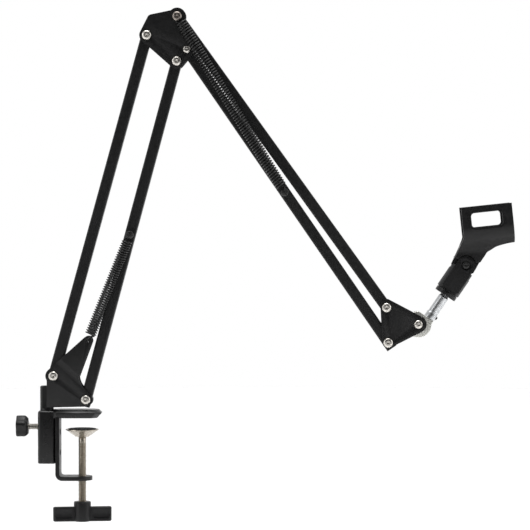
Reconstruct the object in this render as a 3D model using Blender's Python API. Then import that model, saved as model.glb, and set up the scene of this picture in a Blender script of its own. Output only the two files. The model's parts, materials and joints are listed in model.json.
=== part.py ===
"""Desk-clamped microphone boom arm: two sprung scissor arms, tilting head and snap-in clip.

Frame: +Z is up, +X points from the clamp towards the clip, and the arms move in the XZ plane.
The origin is the middle of the upper jaw's underside, on the clamp screw's axis.
Angles are in degrees, counted from +X towards +Z.
"""

import math

import bmesh
import bpy
from mathutils import Matrix, Vector

MM = 0.001
GAP = 0.3 * MM                    # clearance left between pieces that touch

# ---- linkage: pivots in the XZ plane, measured from the pivot named first ----
SWIVEL_X = -34.2 * MM             # vertical axis of the swivel post
PIVOT_F = Vector((3.9 * MM, 0, 17.4 * MM))        # lower main tube on the base plates
F_TO_E = Vector((-31.4 * MM, 0, 23.1 * MM))       # lower guide tube on the base plates
F_TO_Q = Vector((1.8 * MM, 0, 56.9 * MM))         # spring hole in the base plates' fingers
LOWER_LENGTH = 338.8 * MM
LOWER_LEAN = 74.9
C_TO_A = Vector((-28.9 * MM, 0, 25.0 * MM))       # elbow plate holes
C_TO_B = Vector((0.5 * MM, 0, 43.0 * MM))
C_TO_D = Vector((9.7 * MM, 0, 11.2 * MM))
C_TO_CORNER = Vector((-23.9 * MM, 0, 40.4 * MM))
UPPER_LENGTH = 343.0 * MM
UPPER_LEAN = -55.5
H_TO_G = Vector((-1.6 * MM, 0, 33.9 * MM))        # head plate holes
H_TO_I = Vector((29.1 * MM, 0, 17.7 * MM))

# ---- tubes ----
TUBE = 10.6 * MM
TUBE_WALL = 1.0 * MM
TUBE_CORNER = 1.6 * MM
TUBE_PAST_PIVOT = 6.7 * MM        # at the base and the head
TUBE_PAST_ELBOW = 4.6 * MM
OPEN_HOLE_A = 2.7 * MM            # radius of the guide tubes' roomy holes at the elbow and head
OPEN_HOLE_G = 3.8 * MM

# ---- plates ----
PLATE_IN = 5.6 * MM               # inner and outer faces, either side of the middle plane
PLATE_OUT = 7.1 * MM
FINGER_JOG = 1.8 * MM             # how far the base plates' fingers step outwards
FINGER_AXIS = Vector((0.68, 0, 0.73))
JOG_START = 21.5 * MM             # along the finger's axis, from the origin
JOG_END = 29.5 * MM
ELBOW_LOBE = 8.4 * MM             # the elbow plates bulge round bolt B
FINGER_TIP = 4.6 * MM             # radius round the spring hole
SPRING_HOLE = 1.6 * MM

# ---- bolts (M4) ----
SHANK = 2.0 * MM
HEAD = 4.6 * MM
HEAD_HEIGHT = 2.5 * MM
NUT_FLATS = 7.0 * MM
NUT_HEIGHT = 3.6 * MM
HOOK_SPACE = 1.5 * MM             # left under bolt B's head and nut for the spring loops

# ---- springs ----
LOWER_PIN_AT = 165.5 * MM         # along the lower main tube, from pivot F
UPPER_PIN_AT = 167.0 * MM         # along the upper main tube, from pivot D
PIN = 1.5 * MM
LOWER_SPRING_Y = 10.9 * MM
UPPER_SPRING_Y = 13.2 * MM
LOWER_COIL = 5.1 * MM             # outer radius of the coils
UPPER_COIL = 5.6 * MM
WIRE = 0.65 * MM
LOOP = 3.0 * MM                   # radius of an end loop's centre line
NEAR_HOOK = 6.6 * MM              # from the pivot to the first turn
FAR_HOOK = 6.0 * MM               # from the last turn to the pin

# ---- clamp ----
JAW_TOP = 8.0 * MM
JAW_BEVEL = 2.8 * MM              # round the top of the upper jaw
JAW_WIDTH = 25.0 * MM
JAW_END = 18.8 * MM
JAW_CHAMFER = 5.8 * MM
JAW_TIP = 4.0 * MM                # the underside is cut away this far at the jaw's end
BLOCK_LEFT = -42.4 * MM
BLOCK_RIGHT = -25.4 * MM
BLOCK_WIDTH = 20.6 * MM
BLOCK_TOP = 7.0 * MM
BLOCK_FOOT = -44.3 * MM
LEG_OUT = -25.1 * MM
BAR = 3.8 * MM
LEG_TOP = 0.9 * MM                # the leg ends in a rebate under the upper jaw
THROAT = 56.8 * MM
FOOT_END = 9.8 * MM
BEND = 6.5 * MM
RIVET_HEIGHTS = (-14.0 * MM, -34.0 * MM)
SCREW = 3.95 * MM                 # M8
SCREW_TOP = -19.0 * MM
NECK_END = -24.8 * MM
HANDLE_TOP = -81.6 * MM
HANDLE_FOOT = -100.9 * MM
HANDLE_YAW = 8.0
DISC = 16.0 * MM
DISC_RIM = -11.3 * MM
DISC_FOOT = -18.7 * MM
THUMB_HEIGHT = -8.9 * MM
THUMB_SCREW = 3.0 * MM            # M6
POST = 6.6 * MM
POST_TOP = 30.8 * MM
POST_FOOT = -38.0 * MM

# ---- head fitting and clip ----
ROD_LEAN = 56.0
ROD_OFFSET = 5.6 * MM             # the rod's axis misses pivot I by this much
SPIGOT_OFFSET = 6.2 * MM
ROD = 5.0 * MM
ROD_COLLAR = 5.6 * MM
LOCK_SCREW_AT = 14.3 * MM         # along the rod's axis, from pivot I
ROD_START = 12.0 * MM             # along the rod's axis, from pivot I
RIM_AT = 37.6 * MM
PIVOT_J_AT = 73.1 * MM
J_OFF_AXIS = 0.4 * MM             # pivot J misses the rod's axis by this much
KNUCKLE = 12.7 * MM
RIM = 11.1 * MM
SOCKET = 11.8 * MM                # radius of the clip base's body
SHOULDER = 5.0 * MM               # the body ends this far short of pivot J
EAR = 8.9 * MM
EAR_HALF = 8.8 * MM
TONGUE_HALF = 3.9 * MM
FIN_REACH = 15.2 * MM             # the neck's thin fin turns inside this radius
CLIP_LEAN = 6.0
SADDLE = 18.5 * MM
SADDLE_WALL = 3.0 * MM
SADDLE_AXIS = 35.4 * MM           # height of the saddle's round bottom above pivot J
SADDLE_TOP = 55.4 * MM
SADDLE_START = 0.2 * MM
SADDLE_END = 49.0 * MM
# the neck in slices: height, left and right edges and half thickness, in mm from pivot J
NECK_LEVELS = ((1.2, 9.4, 13.8, 9.0), (2.5, 6.8, 15.0, 9.0), (5.0, -0.9, 17.1, 9.0),
               (8.0, -10.3, 19.6, 9.0), (10.2, -8.9, 21.4, 9.0), (12.5, -7.5, 26.1, 9.1),
               (14.5, -6.2, 30.1, 9.5), (15.9, -5.6, 36.0, 9.9), (16.9, -5.2, 43.0, 10.2),
               (17.4, -4.7, 48.6, 10.4), (19.0, -3.9, 48.6, 11.1), (21.0, -2.8, 48.6, 12.2),
               (23.0, -1.6, 48.6, 13.6), (25.0, -0.6, 48.6, 15.0), (27.0, 0.2, 48.6, 16.0))

ROUND = 24


def clear_scene():
    for old in list(bpy.data.objects):
        bpy.data.objects.remove(old)


def material(name, colour, roughness, metallic):
    made = bpy.data.materials.new(name)
    made.use_nodes = True
    shader = made.node_tree.nodes["Principled BSDF"]
    shader.inputs["Base Color"].default_value = (*colour, 1.0)
    shader.inputs["Roughness"].default_value = roughness
    shader.inputs["Metallic"].default_value = metallic
    return made


def joint(name, point, parent=None):
    """An empty on a joint's axis; every empty is unrotated, so offsets add up."""
    empty = bpy.data.objects.new(name + "_axis", None)
    bpy.context.collection.objects.link(empty)
    base = parent["world"] if parent else Vector((0, 0, 0))
    empty.parent = parent["empty"] if parent else None
    empty.location = point - base
    return {"empty": empty, "world": point.copy()}


def direction(degrees):
    return Vector((math.cos(math.radians(degrees)), 0, math.sin(math.radians(degrees))))


# ---------------------------------------------------------------- mesh helpers

def make(name, bm, paint, holder=None, offset=(0, 0, 0), lean=0.0, smooth=35.0):
    """Turns a bmesh into an object that hangs on a joint's empty, leant about Y."""
    bmesh.ops.recalc_face_normals(bm, faces=bm.faces)
    mesh = bpy.data.meshes.new(name)
    bm.to_mesh(mesh)
    bm.free()
    mesh.shade_smooth()
    mesh.set_sharp_from_angle(angle=math.radians(smooth))
    obj = bpy.data.objects.new(name, mesh)
    bpy.context.collection.objects.link(obj)
    if paint:
        mesh.materials.append(paint)
    if holder:
        obj.parent = holder["empty"]
    obj.location = offset
    obj.rotation_euler = (0, math.radians(-lean), 0)
    return obj


def loft(bm, rings, closed=True):
    """Joins rings of points with quads, and caps the first and last ring."""
    made = [[bm.verts.new(point) for point in ring] for ring in rings]
    for first, second in zip(made, made[1:]):
        count = len(first)
        for i in range(count):
            j = (i + 1) % count
            bm.faces.new((first[i], first[j], second[j], second[i]))
    if closed:
        bm.faces.new(made[0])
        bm.faces.new(made[-1])
    return made


def turned(bm, profile, axis="Z", centre=(0, 0, 0), segments=ROUND, lobes=None):
    """A solid of revolution; profile is (radius, height) from one end to the other."""
    centre = Vector(centre)
    frames = {
        "X": (Vector((0, 1, 0)), Vector((0, 0, 1)), Vector((1, 0, 0))),
        "Y": (Vector((0, 0, 1)), Vector((1, 0, 0)), Vector((0, 1, 0))),
        "Z": (Vector((1, 0, 0)), Vector((0, 1, 0)), Vector((0, 0, 1))),
    }
    side, up, along = frames[axis]
    rings = []
    for radius, height in profile:
        ring = []
        for i in range(segments):
            angle = 2 * math.pi * i / segments
            scale = lobes(angle) if lobes else 1.0
            reach = radius * scale
            ring.append(centre + side * reach * math.cos(angle) + up * reach * math.sin(angle)
                        + along * height)
        rings.append(ring)
    loft(bm, rings)


def prism(bm, outline, near, far):
    """An outline of (x, z) points, extruded along Y."""
    rings = [[Vector((x, y, z)) for x, z in outline] for y in (near, far)]
    loft(bm, rings)


def arc(centre, radius, start, end, steps):
    points = []
    for i in range(steps + 1):
        angle = math.radians(start + (end - start) * i / steps)
        points.append((centre[0] + radius * math.cos(angle), centre[1] + radius * math.sin(angle)))
    return points


def hull(circles, steps=32):
    """The convex outline round several (x, z, radius) circles."""
    cloud = [point for x, z, radius in circles for point in arc((x, z), radius, 0, 360, steps)]
    cloud = sorted(set((round(x, 8), round(z, 8)) for x, z in cloud))

    def half(points):
        chain = []
        for point in points:
            while len(chain) > 1 and cross(chain[-2], chain[-1], point) <= 0:
                chain.pop()
            chain.append(point)
        return chain[:-1]

    return half(cloud) + half(cloud[::-1])


def cross(origin, first, second):
    return ((first[0] - origin[0]) * (second[1] - origin[1])
            - (first[1] - origin[1]) * (second[0] - origin[0]))


def box_points(low, high):
    return [(low[0], low[1]), (high[0], low[1]), (high[0], high[1]), (low[0], high[1])]


def use(obj, kind, tool):
    """A Boolean with a hidden tool object, which hangs where the object does."""
    tool.hide_render = True
    tool.display_type = "WIRE"
    tool.parent = obj.parent
    tool.location = obj.location
    tool.rotation_euler = obj.rotation_euler
    modifier = obj.modifiers.new(kind.lower(), "BOOLEAN")
    modifier.operation = kind
    modifier.solver = "EXACT"
    modifier.object = tool


def drill(obj, holes, axis="Y", reach=40 * MM, segments=16):
    """Round holes right through an object: (x, y, z, radius) in the object's own frame."""
    bm = bmesh.new()
    for x, y, z, radius in holes:
        turned(bm, [(radius, -reach), (radius, reach)], axis, (x, y, z), segments)
    use(obj, "DIFFERENCE", make(obj.name + "_drill", bm, None))


def rounded_square(side, radius, steps=3):
    half = side / 2 - radius
    points = []
    for corner, (sy, sz) in enumerate(((1, 1), (-1, 1), (-1, -1), (1, -1))):
        for i in range(steps + 1):
            angle = math.radians(90 * corner + 90 * i / steps)
            points.append((sy * half + radius * math.cos(angle),
                           sz * half + radius * math.sin(angle)))
    return points


# ---------------------------------------------------------------- arms

def tube(name, length, first_past, last_past, holes, paint, holder, lean):
    """A square tube along its own X axis, open at both ends, drilled across."""
    bm = bmesh.new()
    outer = rounded_square(TUBE, TUBE_CORNER)
    inner = rounded_square(TUBE - 2 * TUBE_WALL, TUBE_CORNER - TUBE_WALL)
    ends = (-first_past, length + last_past)
    rings = [[bm.verts.new((x, y, z)) for y, z in loop] for loop in (outer, inner) for x in ends]
    order = (0, 1, 3, 2)
    count = len(outer)
    for k in range(4):
        first, second = rings[order[k]], rings[order[(k + 1) % 4]]
        for i in range(count):
            j = (i + 1) % count
            bm.faces.new((first[i], first[j], second[j], second[i]))
    obj = make(name, bm, paint, holder, lean=lean)
    drill(obj, [(x, 0, 0, radius) for x, radius in holes])
    return obj


def plate_pair(name, circles, holes, paint, holder, lobe=None):
    """Two flat plates, one each side, wrapped round the given circles, with one bulge more."""
    for side, label in ((-1, "front"), (1, "rear")):
        bm = bmesh.new()
        prism(bm, hull(circles), side * PLATE_IN, side * PLATE_OUT)
        obj = make(name + "_" + label, bm, paint, holder)
        if lobe:
            x, z, radius = lobe
            bulge = bmesh.new()
            prism(bulge, arc((x, z), radius, 0, 360, 40)[:-1], side * PLATE_IN, side * PLATE_OUT)
            use(obj, "UNION", make(obj.name + "_lobe", bulge, None))
        drill(obj, [(x, 0, z, SHANK + GAP) for x, z in holes])


def base_outline(e, f, q):
    """The base plate's edge, round pivot E, the finger's tip and pivot F."""
    left = SWIVEL_X + 0.2 * MM
    foot = f[1] - 7.4 * MM
    tangent = math.degrees(math.atan2(q[1] - e[1], q[0] - e[0])) + 90
    edge = [(left, foot)]
    edge += arc(e, 7.6 * MM, 214, tangent, 8)
    edge += arc(q, FINGER_TIP, tangent, -24, 10)
    edge += arc((f[0] + 10.9 * MM, f[1] + 24.0 * MM), 17.6 * MM, 188, 219, 5)
    edge += arc(f, 6.6 * MM, 62, -80, 10)
    return edge


def base_plates(paint, holder, e, f, q):
    axis = FINGER_AXIS.normalized()
    for side, label in ((-1, "front"), (1, "rear")):
        bm = bmesh.new()
        prism(bm, base_outline(e, f, q), side * PLATE_IN, side * PLATE_OUT)
        for reach in (JOG_START, JOG_END):
            bmesh.ops.bisect_plane(bm, geom=bm.verts[:] + bm.edges[:] + bm.faces[:],
                                   plane_co=axis * reach, plane_no=axis)
        for vert in bm.verts:
            share = (vert.co.dot(axis) - JOG_START) / (JOG_END - JOG_START)
            vert.co.y += side * FINGER_JOG * min(max(share, 0.0), 1.0)
        for vert in bm.verts:
            vert.co.x -= SWIVEL_X
        obj = make("base_plate_" + label, bm, paint, holder, smooth=12.0)
        shift = -SWIVEL_X
        drill(obj, [(e[0] + shift, 0, e[1], SHANK + GAP), (f[0] + shift, 0, f[1], SHANK + GAP),
                    (q[0] + shift, 0, q[1], SPRING_HOLE)])


def button_profile(head, height, seat, end, shank):
    """A domed head at the front, then the shank; heights run along Y."""
    steps = 4
    profile = []
    for i in range(steps + 1):
        angle = math.radians(90 * i / steps)
        reach = head * (0.45 + 0.55 * math.sin(angle))
        profile.append((reach, seat - height * (0.28 + 0.72 * math.cos(angle))))
    return profile + [(head, seat), (shank, seat), (shank, end)]


def bolt(name, point, holder, paint, slotted=False, head=HEAD, spare=0.0):
    """A bolt along Y whose head is at the front, with a hex socket or a straight slot."""
    seat = -(PLATE_OUT + GAP + spare)
    end = PLATE_OUT + GAP + spare + NUT_HEIGHT + 0.5 * MM
    bm = bmesh.new()
    turned(bm, button_profile(head, HEAD_HEIGHT, seat, end, SHANK), "Y", (0, 0, 0), 16)
    obj = make(name, bm, paint, holder, point - holder["world"])
    tool = bmesh.new()
    top = seat - HEAD_HEIGHT
    if slotted:
        prism(tool, box_points((-head * 1.2, -0.5 * MM), (head * 1.2, 0.5 * MM)),
              top - 1 * MM, top + 1.0 * MM)
    else:
        turned(tool, [(1.45 * MM, -1 * MM), (1.45 * MM, 1.6 * MM)], "Y", (0, top, 0), 6)
    use(obj, "DIFFERENCE", make(name + "_recess", tool, None))
    return obj


def nut(name, point, holder, paint, inner=SHANK, flats=NUT_FLATS, height=NUT_HEIGHT, seat=None):
    """A lock nut along Y at the rear: a hexagon with a round collar behind it."""
    seat = PLATE_OUT + GAP if seat is None else seat
    corner = flats / math.sqrt(3)
    bore = inner + GAP
    profile = [(bore, 0), (corner, 0), (corner, height * 0.68), (flats * 0.46, height * 0.76),
               (flats * 0.42, height), (bore, height)]
    bm = bmesh.new()
    rings = []
    for radius, along in profile:
        flat_sided = radius == corner
        ring = []
        for i in range(18):
            angle = 2 * math.pi * i / 18
            reach = radius
            if flat_sided:
                fold = (angle + math.pi / 6) % (math.pi / 3) - math.pi / 6
                reach = corner * math.cos(math.pi / 6) / math.cos(abs(fold) - math.pi / 6)
                reach = min(reach, corner)
            ring.append(Vector((reach * math.sin(angle), seat + along, reach * math.cos(angle))))
        rings.append(ring)
    made = loft(bm, rings, closed=False)
    for i in range(18):
        j = (i + 1) % 18
        bm.faces.new((made[-1][i], made[-1][j], made[0][j], made[0][i]))
    return make(name, bm, paint, holder, point - holder["world"])


def fasteners(points, holder, metal, slotted=(), spare_for=()):
    for letter, point in points.items():
        spare = HOOK_SPACE if letter in spare_for else 0.0
        small = {"D": 3.65 * MM, "I": 4.2 * MM}
        bolt("bolt_" + letter, point, holder, metal, letter in slotted,
             small.get(letter, HEAD), spare)
        nut("nut_" + letter, point, holder, metal, seat=PLATE_OUT + GAP + spare)


# ---------------------------------------------------------------- springs

def spring_pin(name, point, holder, coil_y, lean, paint):
    """A cross pin through a tube, with a head at the front and a nut at the rear."""
    seat = coil_y + 1.2 * MM
    bm = bmesh.new()
    profile = [(2.6 * MM, -seat - 1.6 * MM), (3.8 * MM, -seat - 0.9 * MM), (3.8 * MM, -seat),
               (PIN, -seat), (PIN, seat + 2.9 * MM)]
    turned(bm, profile, "Y", (0, 0, 0), 16)
    offset = point - holder["world"]
    make(name, bm, paint, holder, offset, lean)
    nut(name + "_nut", point, holder, paint, PIN, 6.4 * MM, 2.4 * MM, seat + GAP)


def ring_about_y(bm, centre, radius, wire, around=16, across=6):
    """A closed wire loop that lies in the XZ plane."""
    centre = Vector(centre)
    rings = []
    for i in range(around):
        angle = 2 * math.pi * i / around
        out = Vector((math.cos(angle), 0, math.sin(angle)))
        ring = []
        for j in range(across):
            turn = 2 * math.pi * j / across
            ring.append(centre + out * (radius + wire * math.cos(turn))
                        + Vector((0, wire * math.sin(turn), 0)))
        rings.append(ring)
    loft(bm, rings + [rings[0]], closed=False)
    bmesh.ops.remove_doubles(bm, verts=bm.verts, dist=0.00001)


def coil_solid(name, length, coil, coil_y, side, paint, holder, lean):
    """The space that a spring's turns fill, from its first turn to its last, along X."""
    bm = bmesh.new()
    rise = 1.2 * MM
    start = NEAR_HOOK
    end = length - FAR_HOOK
    profile = [(coil * 0.45, start - rise), (coil, start), (coil, end), (coil * 0.45, end + rise)]
    turned(bm, profile, "X", (0, side * coil_y, 0), 14)
    make(name, bm, paint, holder, lean=lean)


def spring_eye(name, coil_y, side, paint, holder, offset, lean):
    """The loop at a spring's far end, round its cross pin."""
    bm = bmesh.new()
    ring_about_y(bm, (0, side * coil_y, 0), LOOP, WIRE)
    make(name, bm, paint, holder, offset, lean)


def spring_pair(label, anchor, pin_point, coil, coil_y, holder, slider, paint):
    """A front and a rear spring between an anchor and a pin."""
    span = pin_point - anchor
    length = span.length
    lean = math.degrees(math.atan2(span.z, span.x))
    for side, end in ((-1, "front"), (1, "rear")):
        coil_solid(label + "_spring_" + end, length, coil, coil_y, side, paint, holder, lean)
        spring_eye(label + "_spring_eye_" + end, coil_y, side, paint, slider,
                   pin_point - slider["world"], lean)


# ---------------------------------------------------------------- clamp

def clamp_head(paint):
    """The cast socket block for the post, in one piece with the upper jaw."""
    bm = bmesh.new()
    middle = (BLOCK_LEFT + BLOCK_RIGHT) / 2
    round_corner = 3.2 * MM
    half_x = (BLOCK_RIGHT - BLOCK_LEFT) / 2 - round_corner
    half_y = BLOCK_WIDTH / 2 - round_corner
    rings = []
    for height, inset in ((BLOCK_FOOT, 0.8), (BLOCK_FOOT + 0.8 * MM, 0), (BLOCK_TOP - 2.2 * MM, 0),
                          (BLOCK_TOP, 2.2)):
        radius = round_corner - inset * MM
        ring = []
        for corner, (sx, sy) in enumerate(((1, 1), (-1, 1), (-1, -1), (1, -1))):
            for i in range(5):
                angle = math.radians(90 * corner + 22.5 * i)
                ring.append(Vector((middle + sx * half_x + radius * math.cos(angle),
                                    sy * half_y + radius * math.sin(angle), height)))
        rings.append(ring)
    loft(bm, rings)
    obj = make("clamp_head", bm, paint, None, smooth=30.0)
    slab = bmesh.new()
    half = JAW_WIDTH / 2
    plan = [(BLOCK_RIGHT - 5 * MM, -BLOCK_WIDTH / 2 + 4 * MM), (BLOCK_RIGHT + 1 * MM, -half),
            (JAW_END - JAW_CHAMFER, -half), (JAW_END, -half + JAW_CHAMFER),
            (JAW_END, half - JAW_CHAMFER), (JAW_END - JAW_CHAMFER, half),
            (BLOCK_RIGHT + 1 * MM, half), (BLOCK_RIGHT - 5 * MM, BLOCK_WIDTH / 2 - 4 * MM)]
    levels = ((0, 0, JAW_TIP), (JAW_TIP, 0, 0), (JAW_TOP - JAW_BEVEL, 0, 0), (JAW_TOP, JAW_BEVEL, 0))
    centre_x = (BLOCK_RIGHT + JAW_END) / 2
    rings = []
    for height, inset, cut_back in levels:
        ring = []
        for x, y in plan:
            pull_x = math.copysign(inset, x - centre_x) + (cut_back if x > centre_x else 0)
            pull_y = math.copysign(inset, y)
            ring.append(Vector((x - pull_x, y - pull_y, height)))
        rings.append(ring)
    loft(slab, rings)
    use(obj, "UNION", make("jaw_slab", slab, None))
    rebate = bmesh.new()
    prism(rebate, box_points((BLOCK_RIGHT, -GAP), (LEG_OUT + BAR + GAP, LEG_TOP + GAP)),
          -JAW_WIDTH, JAW_WIDTH)
    use(obj, "DIFFERENCE", make("leg_rebate", rebate, None))
    bore = bmesh.new()
    turned(bore, [(POST + GAP, POST_FOOT - GAP), (POST + GAP, BLOCK_TOP + 5 * MM)], "Z",
           (SWIVEL_X, 0, 0), 32)
    use(obj, "DIFFERENCE", make("post_bore", bore, None))
    tap = bmesh.new()
    turned(tap, [(THUMB_SCREW + GAP, BLOCK_LEFT - 5 * MM), (THUMB_SCREW + GAP, SWIVEL_X)], "X",
           (0, 0, THUMB_HEIGHT), 16)
    use(obj, "DIFFERENCE", make("thumb_screw_bore", tap, None))
    blind = bmesh.new()
    for height in RIVET_HEIGHTS:
        turned(blind, [(2.0 * MM + GAP, BLOCK_RIGHT - 1.1 * MM), (2.0 * MM + GAP, LEG_OUT + 1 * MM)],
               "X", (0, 0, height), 16)
    use(obj, "DIFFERENCE", make("rivet_bores", blind, None))


def clamp_bracket(paint):
    """A flat bar bent into the clamp's leg and lower jaw."""
    inner = LEG_OUT + BAR
    foot = -THROAT - BAR
    path = [(LEG_OUT, LEG_TOP), (LEG_OUT, foot + BEND)]
    path += arc((LEG_OUT + BEND, foot + BEND), BEND, 180, 270, 8)[1:]
    path += [(FOOT_END - JAW_WIDTH / 2, foot)]
    back = [(FOOT_END - JAW_WIDTH / 2, -THROAT)]
    back += arc((LEG_OUT + BEND, foot + BEND), BEND - BAR, 270, 180, 8)
    back += [(inner, LEG_TOP)]
    bm = bmesh.new()
    half = JAW_WIDTH / 2
    prism(bm, path + back, -half, half)
    obj = make("clamp_bracket", bm, paint, None)
    tip = bmesh.new()
    turned(tip, [(half, foot), (half, -THROAT)], "Z", (FOOT_END - half, 0, 0), 40)
    use(obj, "UNION", make("jaw_tip", tip, None))
    drill(obj, [(0, 0, foot, SCREW + GAP)], "Z", 10 * MM, 24)
    drill_leg = bmesh.new()
    for height in RIVET_HEIGHTS:
        turned(drill_leg, [(2.0 * MM + GAP, LEG_OUT - 3 * MM), (2.0 * MM + GAP, inner + 3 * MM)],
               "X", (0, 0, height), 16)
    use(obj, "DIFFERENCE", make("leg_bores", drill_leg, None))
    for number, height in enumerate(RIVET_HEIGHTS, 1):
        rivet = bmesh.new()
        seat = inner + GAP
        turned(rivet, [(2.0 * MM, BLOCK_RIGHT - 0.8 * MM), (2.0 * MM, seat), (3.0 * MM, seat),
                       (2.5 * MM, seat + 0.5 * MM)],
               "X", (0, 0, height), 16)
        make("clamp_rivet_%d" % number, rivet, paint, None)


def clamp_screw_set(feed, spin, screw_metal, plastic, rubber):
    """The disc and its pad, the threaded screw and the T-shaped handle."""
    disc = bmesh.new()
    turned(disc, [(2.0 * MM + GAP, DISC_FOOT), (6.4 * MM, DISC_FOOT), (15.2 * MM, -12.4 * MM),
                  (DISC, -12.1 * MM), (DISC, DISC_RIM), (14.3 * MM, DISC_RIM),
                  (11.6 * MM, -13.8 * MM), (8.2 * MM, -16.3 * MM), (5.4 * MM, DISC_FOOT + 1.4 * MM),
                  (2.0 * MM + GAP, DISC_FOOT + 1.4 * MM)], segments=32)
    bore_the_middle(disc)
    make("clamp_disc", disc, screw_metal, feed)
    pad = bmesh.new()
    turned(pad, [(4.6 * MM, -15.4 * MM), (8.4 * MM, -15.4 * MM), (11.2 * MM, -13.4 * MM),
                 (13.7 * MM, -11.3 * MM), (13.4 * MM, -10.7 * MM), (3.0 * MM, -10.7 * MM)],
           segments=32)
    make("disc_pad", pad, rubber, feed)

    screw = bmesh.new()
    turned(screw, [(3.4 * MM, -15.8 * MM), (3.9 * MM, -16.9 * MM), (2.0 * MM, -16.9 * MM),
                   (2.0 * MM, SCREW_TOP), (3.6 * MM, SCREW_TOP), (3.6 * MM, NECK_END),
                   (SCREW, NECK_END - 0.6 * MM), (SCREW, -92.0 * MM)], segments=24)
    make("clamp_screw", screw, screw_metal, spin)

    hub = bmesh.new()
    turned(hub, [(7.4 * MM, HANDLE_TOP), (8.3 * MM, HANDLE_TOP - 0.9 * MM),
                 (8.3 * MM, HANDLE_FOOT + 0.9 * MM), (7.4 * MM, HANDLE_FOOT)], segments=24)
    obj = make("clamp_handle", hub, plastic, spin)
    wing = bmesh.new()
    half = 28.4 * MM
    thick = 3.5 * MM
    rings = []
    for height, inset in ((HANDLE_FOOT, 1.2), (HANDLE_FOOT + 1.2 * MM, 0),
                          (HANDLE_FOOT + 12.8 * MM, 0), (HANDLE_FOOT + 14.2 * MM, 1.2)):
        radius = thick - inset * MM
        edge = arc((half - thick, 0), radius, -90, 90, 6) + arc((thick - half, 0), radius, 90, 270, 6)
        rings.append([Vector((x, y, height)) for x, y in edge])
    loft(wing, rings)
    bmesh.ops.rotate(wing, verts=wing.verts, matrix=Matrix.Rotation(math.radians(HANDLE_YAW), 3, "Z"))
    use(obj, "UNION", make("handle_wing", wing, None))
    socket = bmesh.new()
    turned(socket, [(SCREW + GAP, HANDLE_TOP + 5 * MM), (SCREW + GAP, -92.4 * MM)], segments=24)
    use(obj, "DIFFERENCE", make("handle_socket", socket, None))


def bore_the_middle(bm):
    """Replaces a ring profile's two end caps with the wall of its central hole."""
    bm.faces.ensure_lookup_table()
    caps = [face for face in bm.faces if len(face.verts) > 4]
    edges = [list(cap.verts) for cap in caps]
    bmesh.ops.delete(bm, geom=caps, context="FACES_ONLY")
    loops = [edge for vert_list in edges for edge in loop_edges(vert_list)]
    bmesh.ops.bridge_loops(bm, edges=loops)


def loop_edges(verts):
    edges = set()
    for vert in verts:
        for edge in vert.link_edges:
            if edge.other_vert(vert) in verts:
                edges.add(edge)
    return edges


def thumb_screw_set(axis, metal, plastic):
    """The screw that locks the post, and its lobed knob."""
    tip = SWIVEL_X - POST - 2 * GAP
    screw = bmesh.new()
    turned(screw, [(THUMB_SCREW - 0.6 * MM, tip), (THUMB_SCREW, tip - 0.6 * MM),
                   (THUMB_SCREW, -58.0 * MM)], "X", segments=20)
    shift_x(screw, -axis["world"].x)
    make("thumb_screw", screw, metal, axis)
    knob = bmesh.new()
    lobes = lambda angle: 1.0 - 0.075 * (1 - math.sin(5 * angle))
    turned(knob, [(7.4 * MM, -52.2 * MM), (9.6 * MM, -53.6 * MM), (10.7 * MM, -55.4 * MM),
                  (10.7 * MM, -62.9 * MM), (9.9 * MM, -63.8 * MM)], "X",
           segments=40, lobes=lobes)
    shift_x(knob, -axis["world"].x)
    obj = make("thumb_knob", knob, plastic, axis)
    socket = bmesh.new()
    turned(socket, [(THUMB_SCREW + GAP, -58.4 * MM), (THUMB_SCREW + GAP, -45.0 * MM)], "X",
           segments=20)
    shift_x(socket, -axis["world"].x)
    use(obj, "DIFFERENCE", make("knob_socket", socket, None))


def shift_x(bm, distance):
    bmesh.ops.translate(bm, verts=bm.verts, vec=(distance, 0, 0))


def swivel_post(paint, holder):
    """The post: round in its socket, with two flats between the base plates."""
    bm = bmesh.new()
    turned(bm, [(5.8 * MM, POST_FOOT), (POST, POST_FOOT + 0.8 * MM), (POST, POST_TOP - 1.0 * MM),
                (5.6 * MM, POST_TOP)], segments=32)
    obj = make("swivel_post", bm, paint, holder)
    flats = bmesh.new()
    for side in (-1, 1):
        ring = [(-9 * MM, 9.0 * MM), (9 * MM, 9.0 * MM), (9 * MM, 40 * MM), (-9 * MM, 40 * MM)]
        prism(flats, ring, side * (PLATE_IN - GAP), side * 12 * MM)
    use(obj, "DIFFERENCE", make("post_flats", flats, None))


# ---------------------------------------------------------------- head fitting and clip

def knuckle(paint, holder):
    """The cast knuckle between the head plates; its own X axis runs along the rod."""
    outline = []
    flat = 10.6 * MM
    top = ROD_START - 1.4 * MM
    bulge = math.degrees(math.acos(top / KNUCKLE))
    side = math.degrees(math.asin(flat / KNUCKLE))
    outline += arc((0, 0), KNUCKLE, bulge, 360 - side, 22)
    outline += [(top, -flat)]
    bm = bmesh.new()
    prism(bm, outline, -5.2 * MM, 5.2 * MM)
    obj = make("tilt_knuckle", bm, paint, holder, lean=ROD_LEAN, smooth=20.0)
    drill(obj, [(0, 0, 0, SHANK + GAP)])
    seat = bmesh.new()
    turned(seat, [(3.0 * MM + GAP, ROD_START - 8.0 * MM), (3.0 * MM + GAP, ROD_START + 5 * MM)], "X",
           (0, 0, -SPIGOT_OFFSET), 20)
    use(obj, "DIFFERENCE", make("rod_seat", seat, None))


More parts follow.
